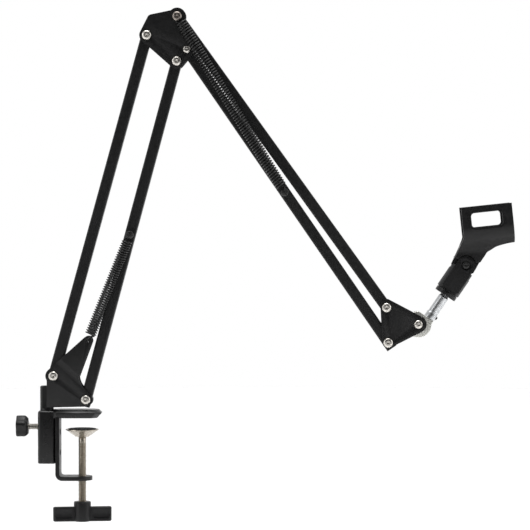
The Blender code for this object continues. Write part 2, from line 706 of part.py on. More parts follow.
def adapter_rod(paint, screw_paint, holder):
    """The rod: a spigot in the knuckle, a collar with a lock screw, the plain length, a stud."""
    bm = bmesh.new()
    rod_foot = ROD_START - 1.1 * MM
    turned(bm, [(ROD_COLLAR, rod_foot), (ROD_COLLAR, ROD_START + 4.6 * MM),
                (ROD, ROD_START + 5.2 * MM), (ROD, RIM_AT - 2.0 * MM), (4.4 * MM, RIM_AT - 1.0 * MM),
                (4.4 * MM, RIM_AT + 14.0 * MM), (3.6 * MM, RIM_AT + 15.0 * MM)], "X",
           (0, 0, -ROD_OFFSET), 28)
    obj = make("adapter_rod", bm, paint, holder, lean=ROD_LEAN)
    spigot = bmesh.new()
    turned(spigot, [(3.0 * MM, ROD_START - 7.6 * MM), (3.0 * MM, ROD_START + 3.0 * MM)], "X",
           (0, 0, -SPIGOT_OFFSET), 20)
    use(obj, "UNION", make("rod_spigot", spigot, None))
    tap = bmesh.new()
    turned(tap, [(1.5 * MM + GAP, -ROD_OFFSET - 9 * MM), (1.5 * MM + GAP, -ROD_OFFSET - 2 * MM)],
           "Z", (LOCK_SCREW_AT, 0, 0), 16)
    use(obj, "DIFFERENCE", make("rod_tap", tap, None))
    screw = bmesh.new()
    turned(screw, [(1.2 * MM, -ROD_OFFSET - 6.6 * MM), (1.5 * MM, -ROD_OFFSET - 6.3 * MM),
                   (1.5 * MM, -ROD_OFFSET - 2.4 * MM)], "Z", (LOCK_SCREW_AT, 0, 0), 16)
    make("rod_lock_screw", screw, screw_paint, holder, lean=ROD_LEAN)


def clip_base(paint, brass, holder):
    """The clip's socket: a round collar and body with two flats, and a fork of two ears."""
    bm = bmesh.new()
    rim = RIM_AT - PIVOT_J_AT
    turned(bm, [(RIM - 0.5 * MM, rim), (RIM, rim + 0.5 * MM), (RIM, rim + 4.0 * MM),
                (RIM - 0.6 * MM, rim + 4.5 * MM), (SOCKET - 0.4 * MM, rim + 4.9 * MM),
                (SOCKET, rim + 5.6 * MM), (SOCKET, -SHOULDER)], "X", segments=36)
    obj = make("clip_base", bm, paint, holder, lean=ROD_LEAN, smooth=30.0)
    block = bmesh.new()
    foot = rim + 8.0 * MM
    outline = [(foot, EAR - J_OFF_AXIS), (foot, -EAR - J_OFF_AXIS)]
    outline += arc((0, -J_OFF_AXIS), EAR, -90, 90, 12)
    prism(block, outline, -EAR_HALF, EAR_HALF)
    use(obj, "UNION", make("fork_block", block, None))
    flats = bmesh.new()
    for side in (-1, 1):
        prism(flats, box_points((rim + 5.2 * MM, -20 * MM), (20 * MM, 20 * MM)), side * EAR_HALF,
              side * 20 * MM)
    use(obj, "DIFFERENCE", make("socket_flats", flats, None))
    slot = bmesh.new()
    wide = TONGUE_HALF + GAP
    outline = [(13 * MM, 18 * MM)] + arc((0, -J_OFF_AXIS), FIN_REACH + 0.4 * MM, 90, 270, 20)
    prism(slot, outline + [(13 * MM, -18 * MM)], -wide, wide)
    use(obj, "DIFFERENCE", make("fork_slot", slot, None))
    drill(obj, [(0, 0, -J_OFF_AXIS, 2.0 * MM + GAP)])
    pockets = bmesh.new()
    for side in (-1, 1):
        turned(pockets, [(5.0 * MM, side * 7.0 * MM), (5.0 * MM, side * 14 * MM)], "Y",
               (0, 0, -J_OFF_AXIS), 20)
    use(obj, "DIFFERENCE", make("screw_pockets", pockets, None))
    bore = bmesh.new()
    turned(bore, [(4.4 * MM + 2 * GAP, rim - 5 * MM), (4.4 * MM + 2 * GAP, rim + 1.5 * MM),
                  (8.0 * MM + GAP, rim + 1.5 * MM), (8.0 * MM + GAP, rim + 16.4 * MM)], "X",
           segments=28)
    use(obj, "DIFFERENCE", make("insert_bore", bore, None))

    sleeve = bmesh.new()
    turned(sleeve, [(4.4 * MM + GAP, rim + 1.8 * MM), (8.0 * MM, rim + 1.8 * MM),
                    (8.0 * MM, rim + 16.0 * MM), (4.4 * MM + GAP, rim + 16.0 * MM)], "X",
           segments=28)
    bore_the_middle(sleeve)
    make("thread_insert", sleeve, brass, holder, lean=ROD_LEAN)


def clip_screw_set(point, metal, holder):
    """The cross screw through the fork and its nut."""
    bm = bmesh.new()
    seat = -7.3 * MM
    turned(bm, [(2.6 * MM, seat - 1.5 * MM), (3.7 * MM, seat - 0.7 * MM), (3.7 * MM, seat),
                (2.0 * MM, seat), (2.0 * MM, 9.2 * MM)], "Y", (0, 0, 0), 20)
    offset = point - holder["world"]
    obj = make("clip_pivot_screw", bm, metal, holder, offset)
    slot = bmesh.new()
    prism(slot, box_points((-5 * MM, -0.45 * MM), (5 * MM, 0.45 * MM)), seat - 3 * MM,
          seat - 0.8 * MM)
    use(obj, "DIFFERENCE", make("clip_screw_slot", slot, None))


def clip_body(paint, holder):
    """The U-shaped saddle with a window in each side, on a neck that ends in a tongue."""
    bm = bmesh.new()
    inner = SADDLE - SADDLE_WALL
    lip = 0.6 * MM
    outer_edge = arc((0, SADDLE_AXIS), SADDLE, 180, 360, 20)
    inner_edge = arc((0, SADDLE_AXIS), inner, 360, 180, 20)
    section = [(-SADDLE + lip, SADDLE_TOP)] + outer_edge + [(SADDLE - lip, SADDLE_TOP)]
    section += [(inner - lip, SADDLE_TOP)] + inner_edge + [(-inner + lip, SADDLE_TOP)]
    rings = [[Vector((x, y, z)) for y, z in section] for x in (SADDLE_START, SADDLE_END)]
    loft(bm, rings)
    obj = make("clip_body", bm, paint, holder, lean=CLIP_LEAN, smooth=30.0)

    neck = bmesh.new()
    rings = []
    for height, left, right, half in NECK_LEVELS:
        corner = 1.2
        ring = [(left + corner, -half), (right - corner, -half), (right, corner - half),
                (right, half - corner), (right - corner, half), (left + corner, half),
                (left, half - corner), (left, corner - half)]
        rings.append([Vector((x * MM, y * MM, height * MM)) for x, y in ring])
    loft(neck, rings)
    use(obj, "UNION", make("clip_neck", neck, None))
    relief = bmesh.new()
    for side in (-1, 1):
        turned(relief, [(EAR + 0.6 * MM, side * TONGUE_HALF), (EAR + 0.6 * MM, side * 30 * MM)],
               "Y", (0, 0, 0), 32)
    use(obj, "DIFFERENCE", make("ear_relief", relief, None))
    fin = bmesh.new()
    outline = [(-6.0, 15.8), (-13.9, 2.6), (-12.0, -5.0), (0.0, -10.0), (6.2, -8.6), (9.2, -4.6),
               (14.1, 2.5), (16.0, 15.0)]
    prism(fin, [(x * MM, z * MM) for x, z in outline], -TONGUE_HALF, TONGUE_HALF)
    use(obj, "UNION", make("clip_fin", fin, None))
    drill(obj, [(0, 0, 0, 2.0 * MM + GAP)])
    hollow = bmesh.new()
    turned(hollow, [(inner, SADDLE_START - 5 * MM), (inner, SADDLE_END + 5 * MM)], "X",
           (0, 0, SADDLE_AXIS), 40)
    use(obj, "DIFFERENCE", make("saddle_hollow", hollow, None))
    window = bmesh.new()
    middle = (24.0 * MM, 42.1 * MM)
    half = (15.0 * MM, 7.0 * MM)
    corner = 3.4 * MM
    edge = []
    for turn, (sx, sz) in enumerate(((1, 1), (-1, 1), (-1, -1), (1, -1))):
        centre = (middle[0] + sx * (half[0] - corner), middle[1] + sz * (half[1] - corner))
        edge += arc(centre, corner, 90 * turn, 90 * turn + 90, 4)
    prism(window, edge, -40 * MM, 40 * MM)
    use(obj, "DIFFERENCE", make("clip_windows", window, None))


# ---------------------------------------------------------------- assembly

def build():
    clear_scene()
    black = material("black_paint", (0.014, 0.014, 0.014), 0.35, 0.0)
    plastic = material("black_plastic", (0.012, 0.012, 0.013), 0.5, 0.0)
    spring_steel = material("black_spring_steel", (0.02, 0.02, 0.02), 0.35, 0.6)
    nickel = material("nickel_plate", (0.62, 0.59, 0.55), 0.28, 1.0)
    zinc = material("zinc_casting", (0.42, 0.43, 0.40), 0.4, 1.0)
    chrome = material("chrome_plate", (0.72, 0.73, 0.74), 0.12, 1.0)
    screw_metal = material("zinc_plated_steel", (0.45, 0.41, 0.34), 0.35, 1.0)
    brass = material("brass", (0.60, 0.45, 0.22), 0.3, 1.0)
    rubber = material("black_rubber", (0.015, 0.015, 0.015), 0.8, 0.0)
    black_steel = material("black_steel", (0.02, 0.02, 0.02), 0.4, 0.5)

    point_e = PIVOT_F + F_TO_E
    point_q = PIVOT_F + F_TO_Q
    point_c = PIVOT_F + direction(LOWER_LEAN) * LOWER_LENGTH
    point_a = point_c + C_TO_A
    point_b = point_c + C_TO_B
    point_d = point_c + C_TO_D
    point_h = point_d + direction(UPPER_LEAN) * UPPER_LENGTH
    point_g = point_h + H_TO_G
    point_i = point_h + H_TO_I
    along = direction(ROD_LEAN)
    below = Vector((along.z, 0, -along.x))
    point_k = point_i + along * PIVOT_J_AT + below * ROD_OFFSET
    point_j = point_k + below * J_OFF_AXIS

    feed = joint("clamp_feed", Vector((0, 0, 0)))
    spin = joint("clamp_spin", Vector((0, 0, 0)), feed)
    thumb = joint("thumb_turn", Vector((BLOCK_LEFT, 0, THUMB_HEIGHT)))
    swivel = joint("swivel", Vector((SWIVEL_X, 0, 0)))
    lower = joint("lower_arm", PIVOT_F, swivel)
    lower_guide = joint("lower_guide", point_e, swivel)
    lower_spring = joint("lower_spring_swing", point_q, swivel)
    lower_stretch = joint("lower_spring_stretch", point_q, lower_spring)
    elbow = joint("elbow", point_c, lower)
    upper = joint("upper_arm", point_d, elbow)
    upper_guide = joint("upper_guide", point_b, elbow)
    upper_spring = joint("upper_spring_swing", point_b, elbow)
    upper_stretch = joint("upper_spring_stretch", point_b, upper_spring)
    head = joint("head", point_h, upper)
    tilt = joint("head_tilt", point_i, head)
    clip_turn = joint("clip_swivel", point_k, tilt)
    clip_tilt = joint("clip_tilt", point_j, clip_turn)

    clamp_head(black)
    clamp_bracket(black)
    clamp_screw_set(feed, spin, screw_metal, plastic, rubber)
    thumb_screw_set(thumb, nickel, plastic)
    swivel_post(black, swivel)

    base_plates(black, swivel, (point_e.x, point_e.z), (PIVOT_F.x, PIVOT_F.z),
                (point_q.x, point_q.z))
    fasteners({"E": point_e, "F": PIVOT_F}, swivel, nickel)

    fit = SHANK + GAP
    tube("lower_main_tube", LOWER_LENGTH, TUBE_PAST_PIVOT, TUBE_PAST_ELBOW,
         [(0, fit), (LOWER_LENGTH, fit), (LOWER_PIN_AT, PIN + GAP)], black, lower, LOWER_LEAN)
    guide = point_a - point_e
    tube("lower_guide_tube", guide.length, TUBE_PAST_PIVOT, TUBE_PAST_ELBOW,
         [(0, fit), (guide.length, OPEN_HOLE_A)], black, lower_guide,
         math.degrees(math.atan2(guide.z, guide.x)))
    lower_pin = PIVOT_F + direction(LOWER_LEAN) * LOWER_PIN_AT
    spring_pin("lower_spring_pin", lower_pin, lower, LOWER_SPRING_Y, LOWER_LEAN, black_steel)
    spring_pair("lower", point_q, lower_pin, LOWER_COIL, LOWER_SPRING_Y, lower_spring,
                lower_stretch, spring_steel)

    plate_circles = [(C_TO_A, 7.1), (C_TO_CORNER, 4.6), (C_TO_B, 7.0), (C_TO_D, 7.2),
                     (Vector((0, 0, 0)), 7.5)]
    plate_pair("elbow_plate", [(v.x, v.z, r * MM) for v, r in plate_circles],
               [(0, 0)] + [(v.x, v.z) for v in (C_TO_A, C_TO_B, C_TO_D)], black, elbow,
               (C_TO_B.x, C_TO_B.z, ELBOW_LOBE))
    fasteners({"A": point_a, "B": point_b, "C": point_c, "D": point_d}, elbow, nickel,
              slotted=("D",), spare_for=("B",))

    tube("upper_main_tube", UPPER_LENGTH, TUBE_PAST_ELBOW, TUBE_PAST_PIVOT,
         [(0, fit), (UPPER_LENGTH, fit), (UPPER_PIN_AT, PIN + GAP)], black, upper, UPPER_LEAN)
    guide = point_g - point_b
    tube("upper_guide_tube", guide.length, TUBE_PAST_ELBOW, TUBE_PAST_PIVOT,
         [(0, fit), (guide.length, OPEN_HOLE_G)], black, upper_guide,
         math.degrees(math.atan2(guide.z, guide.x)))
    upper_pin = point_d + direction(UPPER_LEAN) * UPPER_PIN_AT
    spring_pin("upper_spring_pin", upper_pin, upper, UPPER_SPRING_Y, UPPER_LEAN, black_steel)
    spring_pair("upper", point_b, upper_pin, UPPER_COIL, UPPER_SPRING_Y, upper_spring,
                upper_stretch, spring_steel)

    head_circles = [(H_TO_G + Vector((0, 0, 2.4 * MM)), 5.7), (Vector((0, 0, 0)), 5.4),
                    (H_TO_I, 7.9)]
    plate_pair("head_plate", [(v.x, v.z, r * MM) for v, r in head_circles],
               [(0, 0), (H_TO_G.x, H_TO_G.z), (H_TO_I.x, H_TO_I.z)], black, head)
    fasteners({"G": point_g, "H": point_h, "I": point_i}, head, nickel, slotted=("I",))

    knuckle(zinc, tilt)
    adapter_rod(chrome, black_steel, tilt)
    clip_base(plastic, brass, clip_turn)
    clip_screw_set(point_j, black_steel, clip_turn)
    nut("clip_pivot_nut", point_j, clip_turn, nickel, 2.0 * MM, 6.4 * MM, 1.9 * MM, 7.0 * MM + GAP)
    clip_body(plastic, clip_tilt)


build()
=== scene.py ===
import json
import math

import bmesh
import bpy
from mathutils import Matrix, Vector


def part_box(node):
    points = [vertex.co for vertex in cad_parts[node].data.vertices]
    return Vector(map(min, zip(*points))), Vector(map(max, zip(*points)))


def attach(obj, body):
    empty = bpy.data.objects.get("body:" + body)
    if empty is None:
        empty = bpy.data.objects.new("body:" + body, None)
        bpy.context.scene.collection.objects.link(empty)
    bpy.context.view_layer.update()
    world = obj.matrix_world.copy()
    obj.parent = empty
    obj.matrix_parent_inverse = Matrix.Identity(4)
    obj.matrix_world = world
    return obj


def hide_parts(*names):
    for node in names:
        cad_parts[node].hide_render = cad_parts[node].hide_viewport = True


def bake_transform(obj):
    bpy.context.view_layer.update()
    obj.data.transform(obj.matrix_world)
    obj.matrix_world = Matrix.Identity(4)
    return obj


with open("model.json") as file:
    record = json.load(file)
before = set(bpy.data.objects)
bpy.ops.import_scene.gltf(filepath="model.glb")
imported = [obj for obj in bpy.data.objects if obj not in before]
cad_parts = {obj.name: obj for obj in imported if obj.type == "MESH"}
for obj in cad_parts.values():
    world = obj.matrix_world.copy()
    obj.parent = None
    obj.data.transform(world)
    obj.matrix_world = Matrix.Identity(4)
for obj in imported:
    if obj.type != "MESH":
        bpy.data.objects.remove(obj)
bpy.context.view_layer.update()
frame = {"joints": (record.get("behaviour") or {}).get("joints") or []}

MM = 0.001
GAP = 0.3 * MM
POINT = 0.02 * MM
SIDES = ((-1, "front"), (1, "rear"))
SHARP_AFTER_BEVEL = 42.0

# POINT closes a turned profile at its axis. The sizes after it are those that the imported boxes
# don't give; they repeat the model's own dimensions.
TUBE = 10.6 * MM
TUBE_WALL = 1.0 * MM
TUBE_CORNER = 1.6 * MM
TUBE_PAST_PIVOT = 6.7 * MM
TUBE_PAST_ELBOW = 4.6 * MM
LOWER_ROOM = 2.7 * MM
UPPER_ROOM = 3.8 * MM
PLATE_IN = 5.6 * MM
PLATE_OUT = 7.1 * MM
FINGER_JOG = 1.8 * MM
FINGER_AXIS = Vector((0.68, 0, 0.73)).normalized()
JOG_START = 21.5 * MM
JOG_END = 29.5 * MM
ELBOW_LOBE = 8.4 * MM
ELBOW_CORNER = Vector((-23.9 * MM, 0, 40.4 * MM))
PLATE_EDGE = 0.3 * MM
FINGER_TIP = 4.6 * MM
HOOK_HOLE = 1.6 * MM
SHANK = 2.0 * MM
HEAD = 4.6 * MM
HEAD_HEIGHT = 2.5 * MM
NUT_FLATS = 7.0 * MM
NUT_HEIGHT = 3.6 * MM
SMALL_FLATS = 6.4 * MM
HOOK_SPACE = 1.5 * MM
SCREW_EDGE = 0.06 * MM
PIN = 1.5 * MM
LOWER_SPRING_Y = 10.9 * MM
UPPER_SPRING_Y = 13.2 * MM
LOWER_COIL = 5.1 * MM
UPPER_COIL = 5.6 * MM
WIRE = 0.65 * MM
LOOP = 3.0 * MM
NEAR_HOOK = 6.6 * MM
FAR_HOOK = 6.0 * MM
LOWER_PITCH = 2.3 * MM
UPPER_PITCH = 2.7 * MM
POST = 6.6 * MM
BLOCK_TOP = 7.0 * MM
BLOCK_RIGHT = -25.4 * MM
THUMB_SCREW = 3.0 * MM
THUMB_ROOT = 2.5 * MM
LEG_REBATE = 1.2 * MM
BAR = 3.8 * MM
SCREW = 3.95 * MM
THREAD_PITCH = 1.25 * MM
HANDLE_YAW = 8.0
HANDLE_SOCKET = -92.4 * MM
ROD = 5.0 * MM
ROD_COLLAR = 5.6 * MM
ROD_OFFSET = 5.6 * MM
SPIGOT = 3.0 * MM
SPIGOT_OFFSET = 6.2 * MM
LOCK_SCREW_AT = 14.3 * MM
J_OFF_AXIS = 0.4 * MM
ROD_START = 12.0 * MM
RIM_AT = 37.6 * MM
PIVOT_J_AT = 73.1 * MM
RIM = 11.1 * MM
SOCKET = 11.8 * MM
SHOULDER = 5.0 * MM
EAR = 8.9 * MM
EAR_HALF = 8.8 * MM
TONGUE_HALF = 3.9 * MM
PIVOT_HOLE = 2.3 * MM
FIN_REACH = 15.2 * MM
KNUCKLE = 12.7 * MM
CLIP_LEAN = 6.0
SADDLE = 18.5 * MM
SADDLE_WALL = 3.0 * MM
SADDLE_AXIS = 35.4 * MM
SADDLE_TOP = 55.4 * MM
SADDLE_START = 0.2 * MM
SADDLE_END = 49.0 * MM
WINDOW_CENTRE = (24.0 * MM, 42.1 * MM)
WINDOW_HALF = (15.0 * MM, 7.0 * MM)
NECK_RIGHT = 48.6
# the neck in slices: height, left and right edges and half thickness, in mm from pivot J
NECK_LEVELS = ((1.2, 9.4, 13.8, 9.0), (2.5, 6.8, 15.0, 9.0), (5.0, -0.9, 17.1, 9.0),
               (8.0, -10.3, 19.6, 9.0), (10.2, -8.9, 21.4, 9.0), (12.5, -7.5, 26.1, 9.1),
               (14.5, -6.2, 30.1, 9.5), (15.9, -5.6, 36.0, 9.9), (16.9, -5.2, 43.0, 10.2),
               (17.4, -4.7, NECK_RIGHT, 10.4), (19.0, -3.9, NECK_RIGHT, 11.1),
               (21.0, -2.8, NECK_RIGHT, 12.2), (23.0, -1.6, NECK_RIGHT, 13.6),
               (25.0, -0.6, NECK_RIGHT, 15.0), (27.0, 0.2, NECK_RIGHT, 16.0))

JOINTS = {joint["name"]: joint for joint in frame["joints"]}


def pivot(joint):
    return Vector(JOINTS[joint]["pos_m"])


def middle(node):
    low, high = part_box(node)
    return (low + high) / 2


def flat(point):
    """The same point in the arms' middle plane."""
    return Vector((point.x, 0, point.z))


F = pivot("lower_arm")
E = pivot("lower_guide_swing")
Q = pivot("lower_spring_swing")
C = pivot("elbow_turn")
B = pivot("upper_guide_swing")
D = pivot("upper_arm")
H = pivot("head_turn")
I = pivot("head_tilt")
J = pivot("clip_tilt")
K = pivot("clip_swivel")
A = flat(middle("bolt_A"))
G = flat(middle("bolt_G"))
LOWER_PIN = flat(middle("lower_spring_pin"))
UPPER_PIN = flat(middle("upper_spring_pin"))
SWIVEL = pivot("swivel")


def lean_of(start, end):
    return math.degrees(math.atan2(end.z - start.z, end.x - start.x))


ROD_LEAN = math.degrees(math.atan2(JOINTS["clip_swivel"]["axis"][2], JOINTS["clip_swivel"]["axis"][0]))


# ---- camera and light

def make_camera():
    """Nearly square to the arms' plane, a little above and to the right of its middle."""
    target = Vector((0.1774, -0.011, 0.1481))
    distance = 2.7
    width = 0.5104
    camera = bpy.data.objects.new("camera", bpy.data.cameras.new("camera"))
    bpy.context.collection.objects.link(camera)
    camera.location = target + Vector((0.047, -distance, 0.071))
    camera.rotation_euler = (target - camera.location).to_track_quat("-Z", "Y").to_euler()
    camera.data.sensor_width = 36.0
    camera.data.lens = 36.0 * (target - camera.location).length / width
    camera.data.clip_end = 50.0
    bpy.context.scene.camera = camera


def area_light(name, place, target, size, power):
    lamp = bpy.data.lights.new(name, "AREA")
    lamp.shape = "RECTANGLE"
    lamp.size, lamp.size_y = size
    lamp.energy = power
    obj = bpy.data.objects.new(name, lamp)
    bpy.context.collection.objects.link(obj)
    obj.location = place
    obj.rotation_euler = (Vector(target) - Vector(place)).to_track_quat("-Z", "Y").to_euler()


def add_node(tree, kind, links=(), **values):
    """A shader node with its input values, and with links given as (input, output socket)."""
    node = tree.nodes.new("ShaderNode" + kind)
    for name, value in values.items():
        node.inputs[name.replace("_", " ")].default_value = value
    for socket, source in links:
        tree.links.new(source, node.inputs[socket])
    return node


def make_world():
    """Evenly white to the camera; to the object, white behind and dimmer in front."""
    world = bpy.data.worlds.new("studio")
    bpy.context.scene.world = world
    world.use_nodes = True
    tree = world.node_tree
    tree.nodes.clear()
    white = (1, 1, 1, 1)
    coords = add_node(tree, "TexCoord")
    split = add_node(tree, "SeparateXYZ", [(0, coords.outputs["Generated"])])
    front = add_node(tree, "MapRange", [("Value", split.outputs["Y"])], From_Min=-0.95, From_Max=0.15,
                     To_Min=0.05, To_Max=1.0)
    front.interpolation_type = "SMOOTHSTEP"
    lit = add_node(tree, "Background", [("Strength", front.outputs[0])], Color=white)
    seen = add_node(tree, "Background", Color=white, Strength=1.0)
    path = add_node(tree, "LightPath")
    mix = add_node(tree, "MixShader", [(0, path.outputs["Is Camera Ray"]), (1, lit.outputs[0]),
                                       (2, seen.outputs[0])])
    add_node(tree, "OutputWorld", [("Surface", mix.outputs[0])])


def make_studio():
    """Soft lights above and at both sides, and a white floor with its own wash of light."""
    make_world()

    aim = (0.17, 0, 0.14)
    area_light("top_softbox", (0.1, -0.2, 1.7), aim, (1.1, 0.8), 22)
    area_light("left_softbox", (-1.5, -0.9, 0.6), aim, (0.5, 1.2), 9)
    area_light("right_softbox", (1.8, -0.5, 0.6), aim, (0.5, 1.2), 7)

    # the floor ends inside the wash of light, so that its edge is as white as the rest
    floor_level = -0.32
    area_light("floor_wash", (0.17, 0, floor_level + 0.08), (0.17, 0, -1), (12, 12), 120)
    bm = bmesh.new()
    bmesh.ops.create_circle(bm, cap_ends=True, radius=5.0, segments=96)
    mesh = bpy.data.meshes.new("floor")
    bm.to_mesh(mesh)
    bm.free()
    floor = bpy.data.objects.new("floor", mesh)
    bpy.context.collection.objects.link(floor)
    floor.location = (0.17, 0, floor_level)
    paint = bpy.data.materials.new("floor_paint")
    paint.use_nodes = True
    shader = paint.node_tree.nodes["Principled BSDF"]
    shader.inputs["Base Color"].default_value = (0.97, 0.97, 0.97, 1)
    shader.inputs["Roughness"].default_value = 0.9
    mesh.materials.append(paint)

    view = bpy.context.scene.view_settings
    view.view_transform = "Standard"
    view.look = "None"


# ---- materials

def finish_material(name, colour, roughness, metallic=0.0, specular=0.5, tone=0.25, tone_scale=120.0,
                    rough_swing=0.08, grain_scale=1500.0, grain=0.1, grain_size=0.00005,
                    stretch=None, scratches=0.0):
    """A Principled material whose colour, roughness and bump vary with 3-D noise."""
    made = bpy.data.materials.new(name)
    made.use_nodes = True
    tree = made.node_tree
    links = tree.links
    shader = tree.nodes["Principled BSDF"]
    shader.inputs["Metallic"].default_value = metallic
    shader.inputs["Specular IOR Level"].default_value = specular
    source = add_node(tree, "TexCoord").outputs["Object"]
    if stretch:
        source = add_node(tree, "Mapping", [("Vector", source)], Scale=stretch).outputs[0]

    def noise(scale, detail):
        node = add_node(tree, "TexNoise", [("Vector", source)], Scale=scale, Detail=detail)
        return node.outputs["Fac"]

    def ramp(value, low, high):
        return add_node(tree, "MapRange", [("Value", value)], From_Min=0.3, From_Max=0.7, To_Min=low,
                        To_Max=high).outputs[0]

    shade = add_node(tree, "Mix")
    shade.data_type = "RGBA"
    links.new(ramp(noise(tone_scale, 4.0), 0.0, 1.0), shade.inputs["Factor"])
    dark, light = 6, 7
    shade.inputs[dark].default_value = (*[c * (1 - tone) for c in colour], 1)
    shade.inputs[light].default_value = (*[c * (1 + tone) for c in colour], 1)
    links.new(shade.outputs[2], shader.inputs["Base Color"])

    worn = ramp(noise(tone_scale * 3.1, 3.0), roughness - rough_swing, roughness + rough_swing)
    if scratches:
        lines = add_node(tree, "TexVoronoi", [("Vector", source)], Scale=260.0)
        lines.feature = "DISTANCE_TO_EDGE"
        edge = add_node(tree, "MapRange", [("Value", lines.outputs["Distance"])], From_Max=0.03,
                        To_Min=scratches, To_Max=0.0)
        add = add_node(tree, "Math", [(0, worn), (1, edge.outputs[0])])
        add.operation = "ADD"
        worn = add.outputs[0]
    links.new(worn, shader.inputs["Roughness"])
    bump = add_node(tree, "Bump", [("Height", noise(grain_scale, 3.0))], Strength=grain,
                    Distance=grain_size)
    links.new(bump.outputs[0], shader.inputs["Normal"])
    return made


PAINT = finish_material("black_powder_coat", (0.0045, 0.0045, 0.0047), 0.4, specular=0.28,
                        tone_scale=90, rough_swing=0.06, grain_scale=1400, grain=0.35)
CASTING = finish_material("black_cast_paint", (0.0035, 0.0035, 0.0037), 0.3, specular=0.36,
                          tone_scale=60, rough_swing=0.05, grain_scale=900, grain=0.08)
PLASTIC = finish_material("black_moulded_plastic", (0.0045, 0.0045, 0.0048), 0.4, specular=0.25,
                          tone_scale=70, rough_swing=0.07, grain_scale=2600, grain=0.45,
                          grain_size=0.00004)
SPRING = finish_material("black_spring_wire", (0.007, 0.007, 0.007), 0.4, metallic=0.1,
                         specular=0.35, tone_scale=400, rough_swing=0.1, grain_scale=3000, grain=0.2,
                         grain_size=0.00003)
NICKEL = finish_material("nickel_plate", (0.52, 0.50, 0.465), 0.3, metallic=1.0, tone=0.12,
                         tone_scale=500, rough_swing=0.07, grain_scale=1800, grain=0.12,
                         grain_size=0.00003, scratches=0.2)
ZINC = finish_material("cast_zinc", (0.52, 0.52, 0.49), 0.45, metallic=1.0, tone=0.12,
                       tone_scale=260, rough_swing=0.08, grain_scale=1300, grain=0.25,
                       grain_size=0.00004)
CHROME = finish_material("chrome_plate", (0.46, 0.47, 0.48), 0.33, metallic=1.0, tone=0.05,
                         tone_scale=300, rough_swing=0.04, grain_scale=900, grain=0.05,
                         grain_size=0.00002, scratches=0.1)
SCREW_METAL = finish_material("plated_steel", (0.36, 0.325, 0.275), 0.34, metallic=1.0, tone=0.2,
                              tone_scale=220, rough_swing=0.09, grain_scale=1700, grain=0.2,
                              stretch=(1, 1, 6), scratches=0.15)
BRASS = finish_material("turned_brass", (0.62, 0.45, 0.2), 0.3, metallic=1.0, tone=0.12,
                        tone_scale=300)
RUBBER = finish_material("pad_rubber", (0.012, 0.012, 0.012), 0.75, specular=0.3, tone_scale=150,
                         grain_scale=1100, grain=0.5, grain_size=0.00008)
BLACK_STEEL = finish_material("blackened_steel", (0.014, 0.014, 0.014), 0.38, metallic=0.2,
                              specular=0.4, tone_scale=350, rough_swing=0.08, grain_scale=2000,
                              grain=0.2, grain_size=0.00003)
BRONZED = finish_material("bronzed_nickel", (0.23, 0.205, 0.185), 0.32, metallic=1.0, tone=0.2,
                          tone_scale=420, rough_swing=0.08, grain_scale=1800, grain=0.12,
                          grain_size=0.00003)


# ---- mesh helpers

def lean_frame(point, degrees=0.0):
    return Matrix.Translation(point) @ Matrix.Rotation(math.radians(-degrees), 4, "Y")


def loft(bm, rings, around=False):
    """Joins rings of points with quads; caps the ends, or joins the last ring to the first."""
    made = [[bm.verts.new(point) for point in ring] for ring in rings]
    pairs = list(zip(made, made[1:]))
    if around:
        pairs.append((made[-1], made[0]))
    for first, second in pairs:
        count = len(first)
        for i in range(count):
            j = (i + 1) % count
            bm.faces.new((first[i], first[j], second[j], second[i]))
    if not around:
        bm.faces.new(made[0])
        bm.faces.new(made[-1])


FRAMES = {
    "X": (Vector((0, 1, 0)), Vector((0, 0, 1)), Vector((1, 0, 0))),
    "Y": (Vector((0, 0, 1)), Vector((1, 0, 0)), Vector((0, 1, 0))),
    "Z": (Vector((1, 0, 0)), Vector((0, 1, 0)), Vector((0, 0, 1))),
}


def turned(bm, profile, axis="Z", centre=(0, 0, 0), segments=64, lobes=None, around=False):
    """A solid of revolution; with around, the profile is a closed ring with a hole inside it."""
    centre = Vector(centre)
    side, up, along = FRAMES[axis]
    rings = []
    for radius, height in profile:
        ring = []
        for i in range(segments):
            angle = 2 * math.pi * i / segments
            reach = radius * (lobes(angle) if lobes else 1.0)
            ring.append(centre + side * reach * math.cos(angle) + up * reach * math.sin(angle)
                        + along * height)
        rings.append(ring)
    loft(bm, rings, around=around)


def prism(bm, outline, near, far):
    loft(bm, [[Vector((x, y, z)) for x, z in outline] for y in (near, far)])


def arc(centre, radius, start, end, steps=None):
    steps = steps or max(4, int(abs(end - start) / 5))
    points = []
    for i in range(steps + 1):
        angle = math.radians(start + (end - start) * i / steps)
        points.append((centre[0] + radius * math.cos(angle), centre[1] + radius * math.sin(angle)))
    return points


def box_points(low, high):
    return [(low[0], low[1]), (high[0], low[1]), (high[0], high[1]), (low[0], high[1])]


def rounded_box(centre, half, corner, steps=8):
    """The outline of a rectangle with rounded corners; half is half its width and height."""
    points = []
    for turn, (sx, sy) in enumerate(((1, 1), (-1, 1), (-1, -1), (1, -1))):
        at = (centre[0] + sx * (half[0] - corner), centre[1] + sy * (half[1] - corner))
        points += arc(at, corner, 90 * turn, 90 * turn + 90, steps)
    return points


def in_mm(*pairs):
    return [(first * MM, second * MM) for first, second in pairs]


def cross(origin, first, second):
    return ((first[0] - origin[0]) * (second[1] - origin[1])
            - (first[1] - origin[1]) * (second[0] - origin[0]))


def hull(circles):
    """The convex outline round several (x, z, radius) circles."""
    cloud = [point for x, z, radius in circles for point in arc((x, z), radius, 0, 360, 96)]
    cloud = sorted(set((round(x, 8), round(z, 8)) for x, z in cloud))

    def half(points):
        chain = []
        for point in points:
            while len(chain) > 1 and cross(chain[-2], chain[-1], point) <= 0:
                chain.pop()
            chain.append(point)
        return chain[:-1]

    return half(cloud) + half(cloud[::-1])


